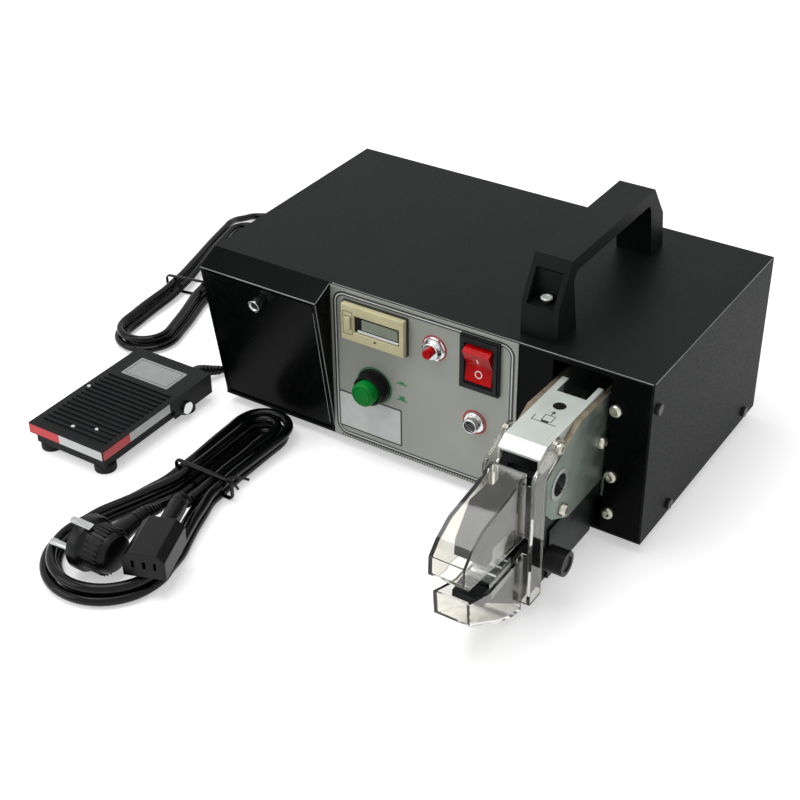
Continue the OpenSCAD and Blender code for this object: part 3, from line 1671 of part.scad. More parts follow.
module connector_cord_end() {
  color("#0e0f10")
    tube(connector_end, mains_cord_d, 8);
}

module mains_plug() {
  color("#0e0f10")
    union() {
      rod_x(plug_x + plug_face, plug_x + plug_l, plug_y, plug_z, plug_d);
      rod_x(plug_x, plug_x + plug_l, plug_y, plug_z, plug_face_d);
      rod_y(plug_y, plug_neck_y, plug_neck_x, plug_z, plug_neck_d);
      translate([plug_x, plug_y, plug_z])
        rotate([plug_pin_tilt, 0, 0])
          for (side = [-1, 1])
            rod_x(-plug_pin, cut, side * plug_pin_pitch / 2, 0, plug_pin_d);
    }
}

module mains_connector() {
  w = connector_w / 2;
  t = connector_t / 2;
  color("#0e0f10")
    translate([connector_x, connector_y, connector_z])
      rotate([0, 0, connector_turn])
        difference() {
          union() {
            translate([0, connector_l / 2, 0])
              rotate([90, 0, 0])
                linear_extrude(connector_l)
                  polygon([
                    [-w, -t], [w, -t], [w, t - connector_bevel],
                    [w - connector_bevel, t], [connector_bevel - w, t],
                    [-w, t - connector_bevel]
                  ]);
            rod_y(0, connector_l / 2 + connector_neck, 0, 0, connector_neck_d);
          }
          for (i = [-1 : 1])
            box([i * connector_pitch - connector_slot_w / 2, -connector_l / 2 - cut,
                -connector_slot_h / 2],
              [i * connector_pitch + connector_slot_w / 2,
                connector_slot - connector_l / 2, connector_slot_h / 2]);
        }
}

module tie(place, turn, w, d) {
  half = w[1] + d / 2 + tie_slack;
  top = hank_lift + 2 * d + layer_gap + tie_slack;
  low = hank_lift - tie_slack;
  translate([place[0], place[1], 0])
    rotate([0, 0, turn])
      difference() {
        box([-half - tie_t, w[3] - tie_w / 2, low - tie_t],
          [half + tie_t, w[3] + tie_w / 2, top + tie_t]);
        box([-half, w[3] - tie_w, low], [half, w[3] + tie_w, top]);
      }
}

module cord_ties() {
  color("#0c0d0e") {
    tie(pedal_hank_place, pedal_hank_turn, pedal_hank_sizes, pedal_cord_d);
    tie(mains_hank_place, mains_hank_turn, mains_hank_sizes, mains_cord_d);
  }
}

// Assembly
base_tray();
top_cover();
front_panel();
rear_panel();
control_plate();
storage_hood();
storage_door();
door_hinge_pins();
door_knob();
storage_box();
carry_handle();
case_screws();
feet();
power_inlet();
pedal_socket();
counter_case();
counter_key();
rocker_housing();
rocker_cap();
button_collar();
push_button();
breaker_body();
breaker_button();
lamp_bezel();
motor();
gearbox();
drive_bracket();
cam_shaft();
shaft_bushes();
ram();
return_spring();
circuit_board();
head_plate_left();
head_plate_right();
head_body();
head_cover();
upper_jaw();
lower_jaw();
upper_die();
lower_die();
jaw_pins();
head_bolts();
lock_knob();
guard();
pedal_base();
pedal_treadle();
pedal_pin();
pedal_feet();
pedal_switch();
pedal_cord_hank();
pedal_cord_lead();
pedal_cord_run();
pedal_cord_plug();
mains_cord_hank();
plug_cord_end();
connector_cord_end();
mains_plug();
mains_connector();
cord_ties();
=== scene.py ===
import json
import math

import bmesh
import bpy
from mathutils import Matrix, Vector

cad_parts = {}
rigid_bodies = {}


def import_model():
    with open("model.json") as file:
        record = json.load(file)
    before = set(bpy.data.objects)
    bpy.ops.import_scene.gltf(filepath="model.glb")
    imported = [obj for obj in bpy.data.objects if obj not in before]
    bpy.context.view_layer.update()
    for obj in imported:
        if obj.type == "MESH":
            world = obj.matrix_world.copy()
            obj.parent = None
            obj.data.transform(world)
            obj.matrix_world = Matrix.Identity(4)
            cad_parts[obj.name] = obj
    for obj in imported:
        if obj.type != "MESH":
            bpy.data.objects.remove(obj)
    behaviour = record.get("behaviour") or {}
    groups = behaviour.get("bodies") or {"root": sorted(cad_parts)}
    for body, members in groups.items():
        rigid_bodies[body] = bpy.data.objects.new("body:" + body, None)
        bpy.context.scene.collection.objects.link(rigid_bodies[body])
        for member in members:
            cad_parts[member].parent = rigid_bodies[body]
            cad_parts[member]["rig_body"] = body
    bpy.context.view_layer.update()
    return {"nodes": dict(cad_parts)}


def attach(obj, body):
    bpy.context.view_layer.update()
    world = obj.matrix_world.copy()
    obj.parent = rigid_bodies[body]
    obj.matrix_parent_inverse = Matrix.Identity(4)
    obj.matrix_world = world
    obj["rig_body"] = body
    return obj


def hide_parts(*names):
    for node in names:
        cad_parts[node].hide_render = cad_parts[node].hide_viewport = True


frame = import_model()
MM = 0.001


def put(name, data):
    """A new object of the scene that shows some data."""
    made = bpy.data.objects.new(name, data)
    bpy.context.scene.collection.objects.link(made)
    return made


# -------------------------------- camera, in mm

VIEW_TURN = math.radians(33.19)
VIEW_RISE = math.radians(33.68)
VIEW_ROLL = math.radians(-0.56)
LENS = 69.84
CAMERA_AWAY = 1080
CAMERA_SIDE = -61.2
CAMERA_UP = -0.9
CAMERA_LIFT = 8
SENSOR_WIDE = 36
CLIP = (0.05, 20)  # metres


def place_camera():
    """The photograph's own view, whose turn, rise and lens come from the machine's corners."""
    back = Vector((math.sin(VIEW_TURN) * math.cos(VIEW_RISE),
                   -math.cos(VIEW_TURN) * math.cos(VIEW_RISE), math.sin(VIEW_RISE)))
    level = Vector((math.cos(VIEW_TURN), math.sin(VIEW_TURN), 0))
    above = back.cross(level)
    right = level * math.cos(VIEW_ROLL) + above * math.sin(VIEW_ROLL)
    up = above * math.cos(VIEW_ROLL) - level * math.sin(VIEW_ROLL)
    spot = back * CAMERA_AWAY + right * CAMERA_SIDE + up * CAMERA_UP + Vector((0, 0, CAMERA_LIFT))
    data = bpy.data.cameras.new("camera")
    data.lens = LENS
    data.sensor_width = SENSOR_WIDE
    data.clip_start, data.clip_end = CLIP
    camera = put("camera", data)
    turn = Matrix((right, up, back)).transposed()
    camera.matrix_world = Matrix.Translation(spot * MM) @ turn.to_4x4()
    bpy.context.scene.camera = camera


place_camera()


# -------------------------------- cord lines, in mm


def along(a, b, far):
    """The point far beyond a, on the line that comes from b."""
    return a + (a - b).normalized() * far


def ease(s):
    """0 to 1 with a soft start and a soft end."""
    s = min(1.0, max(0.0, s))
    return s * s * (3 - 2 * s)


def hank_half(y, sizes):
    """Half the hank's width at a distance from its front centre."""
    front, waist, rear, waist_y, rear_y = sizes[:5]
    if y < waist_y:
        return waist + (front - waist) * ease(1 - y / waist_y)
    return waist + (rear - waist) * ease((y - waist_y) / (rear_y - waist_y))


def hank_point(i, sizes, thick, inward):
    """Ring i of the hank: loops that spiral, climb one layer, and spiral back."""
    front, rear, rear_y, step, change = sizes[0], sizes[2], *sizes[4:]
    t = i / LOOP_RINGS
    u = i % LOOP_RINGS
    off = step * (change - abs(t - change) if inward else abs(t - change))
    run_back = RUN_RINGS + FRONT_RINGS
    turn_rear = run_back + RUN_RINGS
    if u < RUN_RINGS:
        y = rear_y * (1 - u / RUN_RINGS)
        flat = (hank_half(y, sizes) - off, y)
    elif u < run_back:
        a = math.pi * (u - RUN_RINGS) / FRONT_RINGS
        flat = ((front - off) * math.cos(a), -(front - off) * math.sin(a))
    elif u < turn_rear:
        y = rear_y * (u - run_back) / RUN_RINGS
        flat = (off - hank_half(y, sizes), y)
    else:
        a = math.pi * (u - turn_rear) / REAR_RINGS
        flat = (-(rear - off) * math.cos(a), rear_y + (rear - off) * math.sin(a))
    climb = ease((t - change + CLIMB_SPAN) / (2 * CLIMB_SPAN))
    return Vector((*flat, HANK_LIFT + thick / 2 + (thick + LAYER_GAP) * climb))


def hank_line(sizes, rings, place, turn, thick, inward):
    """The points of a hank from its first to its last ring, with a short straight at each end."""
    line = [hank_point(i, sizes, thick, inward) for i in range(rings[0], rings[1] + 1)]
    line = [along(line[0], line[1], thick), *line, along(line[-1], line[-2], thick)]
    turned = Matrix.Rotation(math.radians(turn), 3, "Z")
    return [turned @ p + Vector((*place, 0)) for p in line]


def smooth(points, steps):
    """A smooth line through the points, with some steps between each pair."""
    last = len(points) - 1
    line = []
    for i in range(last):
        a, b = points[max(i - 1, 0)], points[i]
        c, d = points[i + 1], points[min(i + 2, last)]
        for k in range(steps):
            s = k / steps
            line.append(0.5 * (2 * b + (c - a) * s + (2 * a - 5 * b + 4 * c - d) * s ** 2
                               + (3 * b - a - 3 * c + d) * s ** 3))
    return [*line, points[last]]


# One loop of a hank has its rings in four parts: two runs, a front turn and a rear turn.
LOOP_RINGS = 24
RUN_RINGS = 6
FRONT_RINGS = 7
REAR_RINGS = 5
CLIMB_SPAN = 3 / 24
HANK_LIFT = 1.3
LAYER_GAP = 0.5
PEDAL_CORD_D = 5.5
MAINS_CORD_D = 6.5

# A hank's sizes: half widths at its front, waist and rear, how far back the waist and the rear
# lie, the step from loop to loop, and the loop at which it climbs to its second layer. The
# places are those of the hanks' front centres, and the turns are in degrees.
PEDAL_HANK = (25, 18, 22, 70, 162, 6.4, 40 / 24)
PEDAL_HANK_PLACE = (-263.5, -54)
PEDAL_HANK_TURN = 11
MAINS_HANK = (41.5, 18.7, 19.6, 90, 153, 7.55, 64 / 24)
MAINS_HANK_PLACE = (-108, -269)
MAINS_HANK_TURN = 0

pedal_hank = hank_line(PEDAL_HANK, (0, 67), PEDAL_HANK_PLACE, PEDAL_HANK_TURN, PEDAL_CORD_D, True)
mains_hank = hank_line(MAINS_HANK, (16, 99), MAINS_HANK_PLACE, MAINS_HANK_TURN, MAINS_CORD_D,
                       False)
PEDAL_LEAD = [(-190, -88, 12), (-190, -80, 10), (-184, -64, 4.2), (-176, -44, 3), (-172, -12, 3),
              (-172, 30, 3), (-180, 70, 3), (-196, 104, 3), (-218, 128, 3), (-244, 141, 3),
              (-266, 138, 3.4)]
PEDAL_RUN = [(-317, 122, 8), (-313, 142, 4), (-292, 157, 3), (-250, 164, 3), (-200, 164, 3),
             (-150, 163, 3), (-112, 160, 7), (-87, 154, 20), (-76, 143, 33), (-75, 134, 39),
             (-75, 128, 40)]
PLUG_END = [(-107, -246, 19), (-107.4, -236, 18), (-109, -222, 13), (-111, -206, 7)]
CONNECTOR_END = [(-97.4, -211, 14.4), (-94.6, -216, 19.8)]
CONNECTOR_PLACE = Vector((-75, -265, 25))
CONNECTOR_TURN = math.radians(20)


def behind_connector(far):
    """A point on the connector's own line, behind its centre."""
    return CONNECTOR_PLACE + Matrix.Rotation(CONNECTOR_TURN, 3, "Z") @ Vector((0, far, 0))


pedal_line = [
    *map(Vector, PEDAL_LEAD),
    along(pedal_hank[0], pedal_hank[1], PEDAL_CORD_D),
    *pedal_hank,
    along(pedal_hank[-1], pedal_hank[-2], PEDAL_CORD_D),
    *map(Vector, PEDAL_RUN),
]
mains_line = [
    *map(Vector, PLUG_END),
    along(mains_hank[0], mains_hank[1], MAINS_CORD_D),
    *mains_hank,
    along(mains_hank[-1], mains_hank[-2], MAINS_CORD_D),
    *map(Vector, CONNECTOR_END),
    behind_connector(46.5),
    behind_connector(40),
]


# -------------------------------- materials


def linear(code):
    """An sRGB hex colour as the linear values that a shader wants."""
    parts = [int(code[i:i + 2], 16) / 255 for i in (1, 3, 5)]
    return tuple(p / 12.92 if p <= 0.04045 else ((p + 0.055) / 1.055) ** 2.4 for p in parts) + (1,)


def add_node(tree, kind, feeds=None, stops=None, **settings):
    """Adds a node with its settings; feeds maps an input to a value or to the output it takes."""
    made = tree.nodes.new(kind)
    for name, value in settings.items():
        setattr(made, name, value)
    for name, value in (feeds or {}).items():
        if isinstance(value, bpy.types.NodeSocket):
            tree.links.new(value, made.inputs[name])
        else:
            made.inputs[name].default_value = value
    for i, (place, colour) in enumerate(stops or ()):
        elements = made.color_ramp.elements
        stop = elements[i] if i < 2 else elements.new(place)
        stop.position = place
        stop.color = colour
    return made


def new_material(name, **values):
    """A material with its shader; constant values go straight onto the shader's sockets."""
    material = bpy.data.materials.new(name)
    material.use_nodes = True
    tree = material.node_tree
    shader = tree.nodes["Principled BSDF"]
    for socket, value in values.items():
        shader.inputs[socket.replace("_", " ")].default_value = value
    return material, tree, shader


def grain_noise(tree, size_mm, stretch=(1, 1, 1), detail=2.0):
    """Noise with features of a real size in mm, on the piece's own Object coordinates."""
    place = add_node(tree, "ShaderNodeTexCoord")
    spread = add_node(tree, "ShaderNodeMapping",
                      {"Vector": place.outputs["Object"],
                       "Scale": [s / (size_mm * MM) for s in stretch]})
    return add_node(tree, "ShaderNodeTexNoise",
                    {"Vector": spread.outputs["Vector"], "Scale": 1.0, "Detail": detail,
                     "Roughness": 0.55})


def feed_shader(tree, shader, noise, stops, rough, depth_mm, tinted_by=None):
    """Feeds a shader its tint, its roughness and its bump, all from noise."""
    tint = add_node(tree, "ShaderNodeValToRGB", {"Fac": (tinted_by or noise).outputs["Fac"]},
                    [(place, linear(code)) for place, code in stops])
    gloss = add_node(tree, "ShaderNodeMapRange", {"Value": noise.outputs["Fac"], **rough})
    bump = add_node(tree, "ShaderNodeBump", {"Height": noise.outputs["Fac"],
                                             "Distance": depth_mm * MM, "Strength": 1.0})
    tree.links.new(tint.outputs["Color"], shader.inputs["Base Color"])
    tree.links.new(gloss.outputs["Result"], shader.inputs["Roughness"])
    tree.links.new(bump.outputs["Normal"], shader.inputs["Normal"])


def finish(name, colour, other, cloud_mm, rough, grain_mm, grain_depth_mm, stretch=(1, 1, 1),
           detail=2.0, **values):
    """A surface of two close colours in soft clouds, a roughness that wanders and a fine grain.

    rough is the lowest and the highest roughness; grain_mm is the real spacing of the grain.
    """
    material, tree, shader = new_material(name, **values)
    cloud = grain_noise(tree, cloud_mm)
    grain = grain_noise(tree, grain_mm, stretch, detail)
    feed_shader(tree, shader, grain, [(0.35, colour), (0.65, other)],
                {"From Min": 0.3, "From Max": 0.7, "To Min": rough[0], "To Max": rough[1]},
                grain_depth_mm, cloud)
    return material


# The sheet-metal housing: powder coat, whose fine orange peel scatters the light into a grey haze.
powder_coat = finish("powder_coated_steel", "#0f1211", "#131614", 70, (0.42, 0.55), 1.1, 0.025,
                     Specular_IOR_Level=0.085)
# The door, hood and front: sprayed enamel, smoother and darker, with softly blurred reflections.
sprayed_enamel = finish("sprayed_enamel_steel", "#030404", "#060707", 60, (0.2, 0.28), 2.5, 0.008,
                        Specular_IOR_Level=0.045)
# The control plate: brushed aluminium under a matt lacquer, silver grey with a faint level grain.
brushed_plate = finish("lacquered_brushed_aluminium", "#8a8e86", "#979a92", 90, (0.36, 0.5), 0.7,
                       0.01, stretch=(0.03, 1, 1), detail=3.0, Metallic=0.25,
                       Specular_IOR_Level=0.4)
# The door knob, lamp tube, breaker nut, pedal pin and rear socket: nickel-chrome, mirror-like.
chrome_plate = finish("nickel_chrome_plate", "#cfd2d3", "#dcdfe0", 8, (0.07, 0.15), 1.6, 0.004,
                      Metallic=1.0)
# The head's cover: bright zinc plate with faint rolling lines along its length.
bright_zinc = finish("bright_zinc_plate", "#cbd2cb", "#c0c8c1", 25, (0.27, 0.42), 0.8, 0.006,
                     stretch=(1, 0.03, 1), detail=3.0, Metallic=0.25, Specular_IOR_Level=0.5)
# The head's side plates: dull zinc with a greenish passivation, milled with long faint strokes.
dull_zinc = finish("passivated_zinc_plate", "#8f9b93", "#7b8881", 30, (0.34, 0.5), 0.9, 0.008,
                   stretch=(1, 0.05, 1), detail=3.0, Metallic=0.9)
# The screws and bolts: yellow-passivated zinc, warm against the cooler plates.
yellow_zinc = finish("yellow_passivated_zinc", "#c8c6b8", "#b5b3a4", 5, (0.22, 0.36), 0.6, 0.006,
                     Metallic=1.0)
# The raw top edges of the side plates: bare steel that has browned in the shear cut.
browned_steel = finish("browned_raw_steel", "#6a5f50", "#857b69", 9, (0.45, 0.65), 0.7, 0.03,
                       stretch=(1, 0.2, 1), Metallic=0.75)
# The jaws and the head body: black oxide on machined steel, a deep grey with a low sheen.
black_oxide = finish("black_oxide_steel", "#131516", "#1b1e1f", 14, (0.34, 0.5), 0.6, 0.008,
                     Metallic=0.5, Specular_IOR_Level=0.2)
# The dies and pins: ground tool steel with fine cross strokes.
ground_steel = finish("ground_tool_steel", "#a9adac", "#c0c3c2", 10, (0.18, 0.34), 0.4, 0.005,
                      stretch=(0.05, 1, 1), detail=3.0, Metallic=1.0)
# The carrying handle: glass-filled nylon, a satin black whose fine pits catch pale light.
filled_nylon = finish("glass_filled_nylon", "#0a0c0c", "#0f1110", 35, (0.42, 0.56), 0.8, 0.025,
                      Specular_IOR_Level=0.1)
# The feet: black rubber, dull and slightly dusty.
moulded_rubber = finish("moulded_rubber", "#101111", "#181817", 12, (0.7, 0.88), 0.7, 0.05,
                        Specular_IOR_Level=0.3)
# The counter: ivory ABS from a fine spark-eroded mould, warm and softly glossy.
ivory_abs = finish("ivory_abs", "#bfb893", "#b5ae89", 18, (0.3, 0.4), 0.5, 0.012,
                   Specular_IOR_Level=0.35)
# The switch frame, button collar and lock knob: black nylon with a moulded semi-gloss.
moulded_nylon = finish("moulded_black_nylon", "#090a0a", "#0d0e0e", 10, (0.3, 0.44), 0.6, 0.015,
                       Specular_IOR_Level=0.2)
# The rocker: red polycarbonate, polished, with a clear depth to it.
red_polycarbonate = finish("polished_red_polycarbonate", "#b8060b", "#9c0509", 14, (0.12, 0.2),
                           3.0, 0.004, Specular_IOR_Level=0.08)
# The button: a green acrylic cap, polished, whose rounded rim takes a highlight.
green_acrylic = finish("polished_green_acrylic", "#047a2c", "#036b26", 12, (0.18, 0.28), 2.0,
                       0.004, Specular_IOR_Level=0.1)
# The pedal: sprayed die-cast shell, satin black with a slight leathery texture.
pedal_paint = finish("sprayed_pedal_shell", "#0a0c0d", "#0f1112", 40, (0.36, 0.5), 1.3, 0.025,
                     Specular_IOR_Level=0.12)
# The cords: glossy black PVC that shows long bright highlights.
glossy_pvc = finish("glossy_black_pvc", "#040505", "#080909", 20, (0.1, 0.17), 2.2, 0.012,
                    Specular_IOR_Level=0.2)
# Inner parts: castings, windings, boards and bushes, dull and lightly oiled.
cast_alloy = finish("sand_cast_aluminium", "#8f918f", "#9b9d9a", 15, (0.4, 0.6), 1.2, 0.06,
                    Metallic=0.9)
motor_enamel = finish("baked_motor_enamel", "#3c4447", "#444c4f", 30, (0.35, 0.5), 1.2, 0.03)
board_lacquer = finish("lacquered_circuit_board", "#0d4a26", "#115530", 12, (0.3, 0.45), 1.5, 0.02)
oiled_bronze = finish("oiled_sintered_bronze", "#9a7440", "#86653a", 6, (0.3, 0.5), 0.5, 0.02,
                      Metallic=1.0)
spring_wire = finish("drawn_spring_wire", "#90959a", "#a2a6a9", 8, (0.25, 0.4), 0.6, 0.01,
                     Metallic=1.0)
# Printed and painted marks: thin flat inks, almost without shine.
black_ink = finish("black_screen_ink", "#151616", "#1c1d1d", 6, (0.45, 0.6), 0.5, 0.004)
white_ink = finish("white_screen_ink", "#e4e5e2", "#d9dad7", 6, (0.4, 0.55), 0.5, 0.004)
green_ink = finish("green_screen_ink", "#0c6a35", "#0e7440", 6, (0.4, 0.55), 0.5, 0.004)
red_ink = finish("red_screen_ink", "#b3161c", "#a31118", 6, (0.4, 0.55), 0.5, 0.004)
pale_ink = finish("pale_screen_ink", "#c3c6c3", "#babdba", 6, (0.4, 0.55), 0.5, 0.004)
# The bare label place on the control plate: satin silver film, a little lighter than the plate.
pale_label = finish("satin_silver_film", "#bcc0be", "#b3b7b5", 12, (0.35, 0.5), 0.8, 0.006)
# The pedal's bands and label place: glossy printed film, bright red, grey and white.
red_film = finish("red_printed_film", "#cc2029", "#bd1a22", 15, (0.28, 0.4), 1.5, 0.006)
grey_film = finish("grey_printed_film", "#8f9492", "#868b89", 15, (0.35, 0.5), 0.8, 0.006)
white_film = finish("white_printed_film", "#c9ccca", "#bfc2c0", 15, (0.3, 0.42), 1.5, 0.006)
# The counter's display: grey liquid-crystal glass, slightly green, in a dark moulded well.
display_glass = finish("liquid_crystal_glass", "#7d8577", "#747c6f", 10, (0.2, 0.3), 1.0, 0.002)
# Dark colour of the counter's window well and the key's outline; the same colour is painted shade
# on the disc over the hole in the head's cover.
dark_moulding_and_shade = finish("dark_moulding_and_painted_shade", "#0b0a08", "#100f0c", 8, (0.4, 0.6), 0.6, 0.01,
                     Specular_IOR_Level=0.1)
# Painted highlights: bright lines on the folded edges of the painted sheet, where the folds would
# catch the lamps.
painted_edge_highlight = finish("painted_highlight_on_edges", "#646967", "#7d8280", 30, (0.3, 0.45), 1.5, 0.01,
                   Metallic=0.5)
# The lamp's eye: dark smoked glass in a polished tube.
lamp_glass = finish("smoked_lamp_glass", "#0b0b0c", "#121113", 6, (0.05, 0.1), 1.0, 0.002)
# The plugs, sleeves and ties: the same PVC from a rougher mould, duller than the cords.
moulded_pvc = finish("moulded_black_pvc", "#060707", "#0a0b0b", 12, (0.26, 0.38), 0.8, 0.02,
                     Specular_IOR_Level=0.2)
# The case's screws and the door's pins: black zinc, dark with a faint warm sheen.
oxide_zinc = finish("black_zinc_plate", "#3a3a38", "#454440", 6, (0.3, 0.45), 0.6, 0.008,
                    Metallic=0.9)


def clear_polycarbonate():
    """The guard: clear moulded polycarbonate, faintly warm, with a slightly wavy surface."""
    material, tree, shader = new_material(
        "clear_moulded_polycarbonate", IOR=1.5, Transmission_Weight=1.0,
        Specular_IOR_Level=0.12)
    wave = grain_noise(tree, 14, detail=1.0)
    feed_shader(tree, shader, wave, [(0.3, "#f6f5ef"), (0.7, "#f0eee6")],
                {"To Min": 0.02, "To Max": 0.07}, 0.05)
    return material


guard_plastic = clear_polycarbonate()


# -------------------------------- forms, drawn in mm

MERGE_DISTANCE = 2e-6  # metres
FLAT_WITHIN = math.radians(0.4)
FACES_UP = 0.75
SHARP_FROM = math.radians(32)


def body_of(node):
    """The body that a CAD node rides on."""
    return frame["nodes"][node]["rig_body"]


def bind(form, name, materials, body, stands_for=(), bevel=0.0, steps=2, scale=MM):
    """Closes a form into a finished piece on its body, in its material slot.

    stands_for are the CAD nodes that it replaces, and bevel is the width of its soft edges.
    """
    bmesh.ops.scale(form, vec=(scale, scale, scale), verts=form.verts)
    mesh = bpy.data.meshes.new(name)
    form.to_mesh(mesh)
    form.free()
    for material in materials:
        mesh.materials.append(material)
    mesh.polygons.foreach_set("use_smooth", [True] * len(mesh.polygons))
    mesh.set_sharp_from_angle(angle=SHARP_FROM)
    piece = put(name, mesh)
    if bevel:
        soften = piece.modifiers.new("soft_edges", "BEVEL")
        soften.width = bevel * MM
        soften.segments = steps
        soften.limit_method = "ANGLE"
        soften.angle_limit = SHARP_FROM
        soften.harden_normals = True
        soften.use_clamp_overlap = True
    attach(piece, body)
    if stands_for:
        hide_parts(*stands_for)
    return piece


def dress(node, material, bevel, steps=2, top_finish=None):
    """A merged copy of a CAD node with softened edges, in its place; its top may differ."""
    form = bmesh.new()
    form.from_mesh(frame["nodes"][node].data)
    bmesh.ops.remove_doubles(form, verts=form.verts, dist=MERGE_DISTANCE)
    bmesh.ops.dissolve_limit(form, angle_limit=FLAT_WITHIN, verts=form.verts,
                             edges=form.edges, delimit={"NORMAL"})
    for face in form.faces:
        face.material_index = int(top_finish is not None and face.normal.z > FACES_UP)
    bind(form, node + "_dressed", [material, top_finish or material], body_of(node),
         [node], bevel, steps, scale=1.0)


def paint_node(node, material):
    """A CAD node that keeps its own mesh gets its finish."""
    slots = frame["nodes"][node].material_slots
    for slot in slots:
        slot.material = material
    if not slots:
        frame["nodes"][node].data.materials.append(material)


def axes(origin, out, up):
    """A place in mm, whose Z runs along out and whose Y runs along up."""
    z = Vector(out).normalized()
    x = Vector(up).cross(z).normalized()
    turn = Matrix((x, z.cross(x), z)).transposed().to_4x4()
    return Matrix.Translation(Vector(origin)) @ turn


def skin(form, loops, paint=0, caps=True):
    """Faces between loops of the same number of points; single points make poles."""
    rows = [[form.verts.new(p) for p in loop] for loop in loops]
    made = []
    for low, high in zip(rows, rows[1:]):
        n = max(len(low), len(high))
        for k in range(n):
            corners = []
            for v in (low[k % len(low)], low[(k + 1) % len(low)], high[(k + 1) % len(high)],
                      high[k % len(high)]):
                if v not in corners:
                    corners.append(v)
            if len(corners) > 2:
                made.append(form.faces.new(corners))
    for end in (rows[0], rows[-1][::-1]):
        if caps and len(end) > 2:
            made.append(form.faces.new(end))
    for face in made:
        face.material_index = paint
    bmesh.ops.recalc_face_normals(form, faces=made)
    return made


def closed_skin(form, loops, paint=0, apart=1e-5):
    """The skin of loops whose last is the first again, with that seam welded."""
    faces = skin(form, loops, paint, caps=False)
    points = list(dict.fromkeys(v for f in faces for v in f.verts))
    bmesh.ops.remove_doubles(form, verts=points, dist=apart)
    bmesh.ops.recalc_face_normals(form, faces=[f for f in faces if f.is_valid])


def circle(radius, steps):
    """Points round a circle, from its first axis on."""
    turns = [2 * math.pi * k / steps for k in range(steps)]
    return [(radius * math.cos(a), radius * math.sin(a)) for a in turns]


def lathe(form, place, profile, steps=48):
    """A turned solid from [along, radius] pairs; it closes at its first and last pair."""
    skin(form, [[place @ Vector((x, y, high)) for x, y in circle(radius, steps if radius else 1)]
                for high, radius in profile])


def rounded(w, h, r, steps=6, middle=(0, 0)):
    """The outline of a rectangle with round corners."""
    points = []
    for quarter, (sx, sy) in enumerate(((1, 1), (-1, 1), (-1, -1), (1, -1))):
        cx, cy = sx * (w / 2 - r), sy * (h / 2 - r)
        for k in range(steps + 1):
            a = math.pi / 2 * (quarter + k / steps)
            points.append((middle[0] + cx + r * math.cos(a), middle[1] + cy + r * math.sin(a)))
    return points


def prism(form, place, levels, paint=0):
    """A solid through outlines at given heights; each level is (height, outline)."""
    skin(form, [[place @ Vector((x, y, z)) for x, y in outline] for z, outline in levels], paint)


def slab(form, place, outline, low, high, paint=0):
    """A flat plate of one outline."""
    prism(form, place, [(low, outline), (high, outline)], paint)


def ring(form, place, outer, inner, low, high, paint=0):
    """A flat frame between two outlines of the same number of points."""
    loops = [[place @ Vector((x, y, z)) for x, y in outline]
             for z, outline in ((low, outer), (high, outer), (high, inner), (low, inner),
                                (low, outer))]
    closed_skin(form, loops, paint)


def tube(form, line, radii, sides):
    """A tube along a line; radii is one number, or one for each point."""
    if not hasattr(radii, "__len__"):
        radii = [radii] * len(line)
    last = len(line) - 1
    loops = []
    for i, p in enumerate(line):
        t = (line[min(i + 1, last)] - line[max(i - 1, 0)]).normalized()
        side = t.cross(Vector((0, 0, 1)))
        side = (side if side.length > 0.05 else t.cross(Vector((0, 1, 0)))).normalized()
        up = side.cross(t)
        loops.append([p + radii[i] * (x * up + y * side) for x, y in circle(1, sides)])
    skin(form, loops)


# -------------------------------- the two cords

LONGEST_SPAN = 20  # mm between the points that a cord is smoothed from


def spaced(line):
    """The line with points added on its long straights, so that its turns don't overshoot."""
    points = [line[0]]
    for a, b in zip(line, line[1:]):
        parts = max(1, math.ceil((b - a).length / LONGEST_SPAN))
        points += [a.lerp(b, k / parts) for k in range(1, parts + 1)]
    return points


def laid_cord(name, line, diameter, stands_for):
    """A round cord along a smooth line."""
    path = smooth(spaced(line), 4)
    form = bmesh.new()
    tube(form, path, diameter / 2, 18)
    piece = bind(form, name, [glossy_pvc], "case", stands_for)


# -------------------------------- finishes of the CAD nodes

# Each row has the finish, its nodes, the edges' width and steps, and another finish for the top.
DRESSED = (
    (powder_coat, ("base_tray", "top_cover", "rear_panel"), 0.5),
    (sprayed_enamel, ("front_panel", "storage_hood", "storage_door", "storage_box"), 0.4),
    (dull_zinc, ("head_plate_left", "head_plate_right"), 0.35, 2, browned_steel),
    (moulded_rubber, ("feet", "pedal_feet"), 0.6),
    (black_oxide, ("upper_jaw", "lower_jaw", "head_body"), 0.35),
    (moulded_nylon, ("power_inlet", "button_collar", "lock_knob"), 0.4),
    (oxide_zinc, ("door_hinge_pins", "case_screws"), 0.3),
    (chrome_plate, ("breaker_body", "pedal_pin", "pedal_socket", "door_knob"), 0.25),
    (brushed_plate, ("control_plate",), 0.25),
    (filled_nylon, ("carry_handle",), 1.2, 3),
    (bright_zinc, ("head_cover",), 0.4),
    (ivory_abs, ("counter_case",), 0.7, 3),
    (ivory_abs, ("counter_key",), 0.4),
    (moulded_nylon, ("rocker_housing",), 0.5),
    (red_polycarbonate, ("rocker_cap",), 0.8, 3),
    (red_polycarbonate, ("breaker_button",), 0.5),
    (pedal_paint, ("pedal_base", "pedal_treadle"), 0.6),
    (guard_plastic, ("guard",), 0.3),
    (moulded_pvc, ("mains_connector",), 0.8, 3),
    (moulded_pvc, ("pedal_cord_plug",), 0.6),
)
PAINTED = (
    (motor_enamel, ("motor", "drive_bracket")),
    (ground_steel, ("upper_die", "lower_die", "jaw_pins", "ram", "cam_shaft")),
    (cast_alloy, ("gearbox",)),
    (board_lacquer, ("circuit_board",)),
    (oiled_bronze, ("shaft_bushes",)),
    (spring_wire, ("return_spring",)),
    (moulded_nylon, ("pedal_switch",)),
)
for material, nodes, *how in DRESSED:
    for node in nodes:
        dress(node, material, *how)
for material, nodes in PAINTED:
    for node in nodes:
        paint_node(node, material)


# -------------------------------- repeated forms


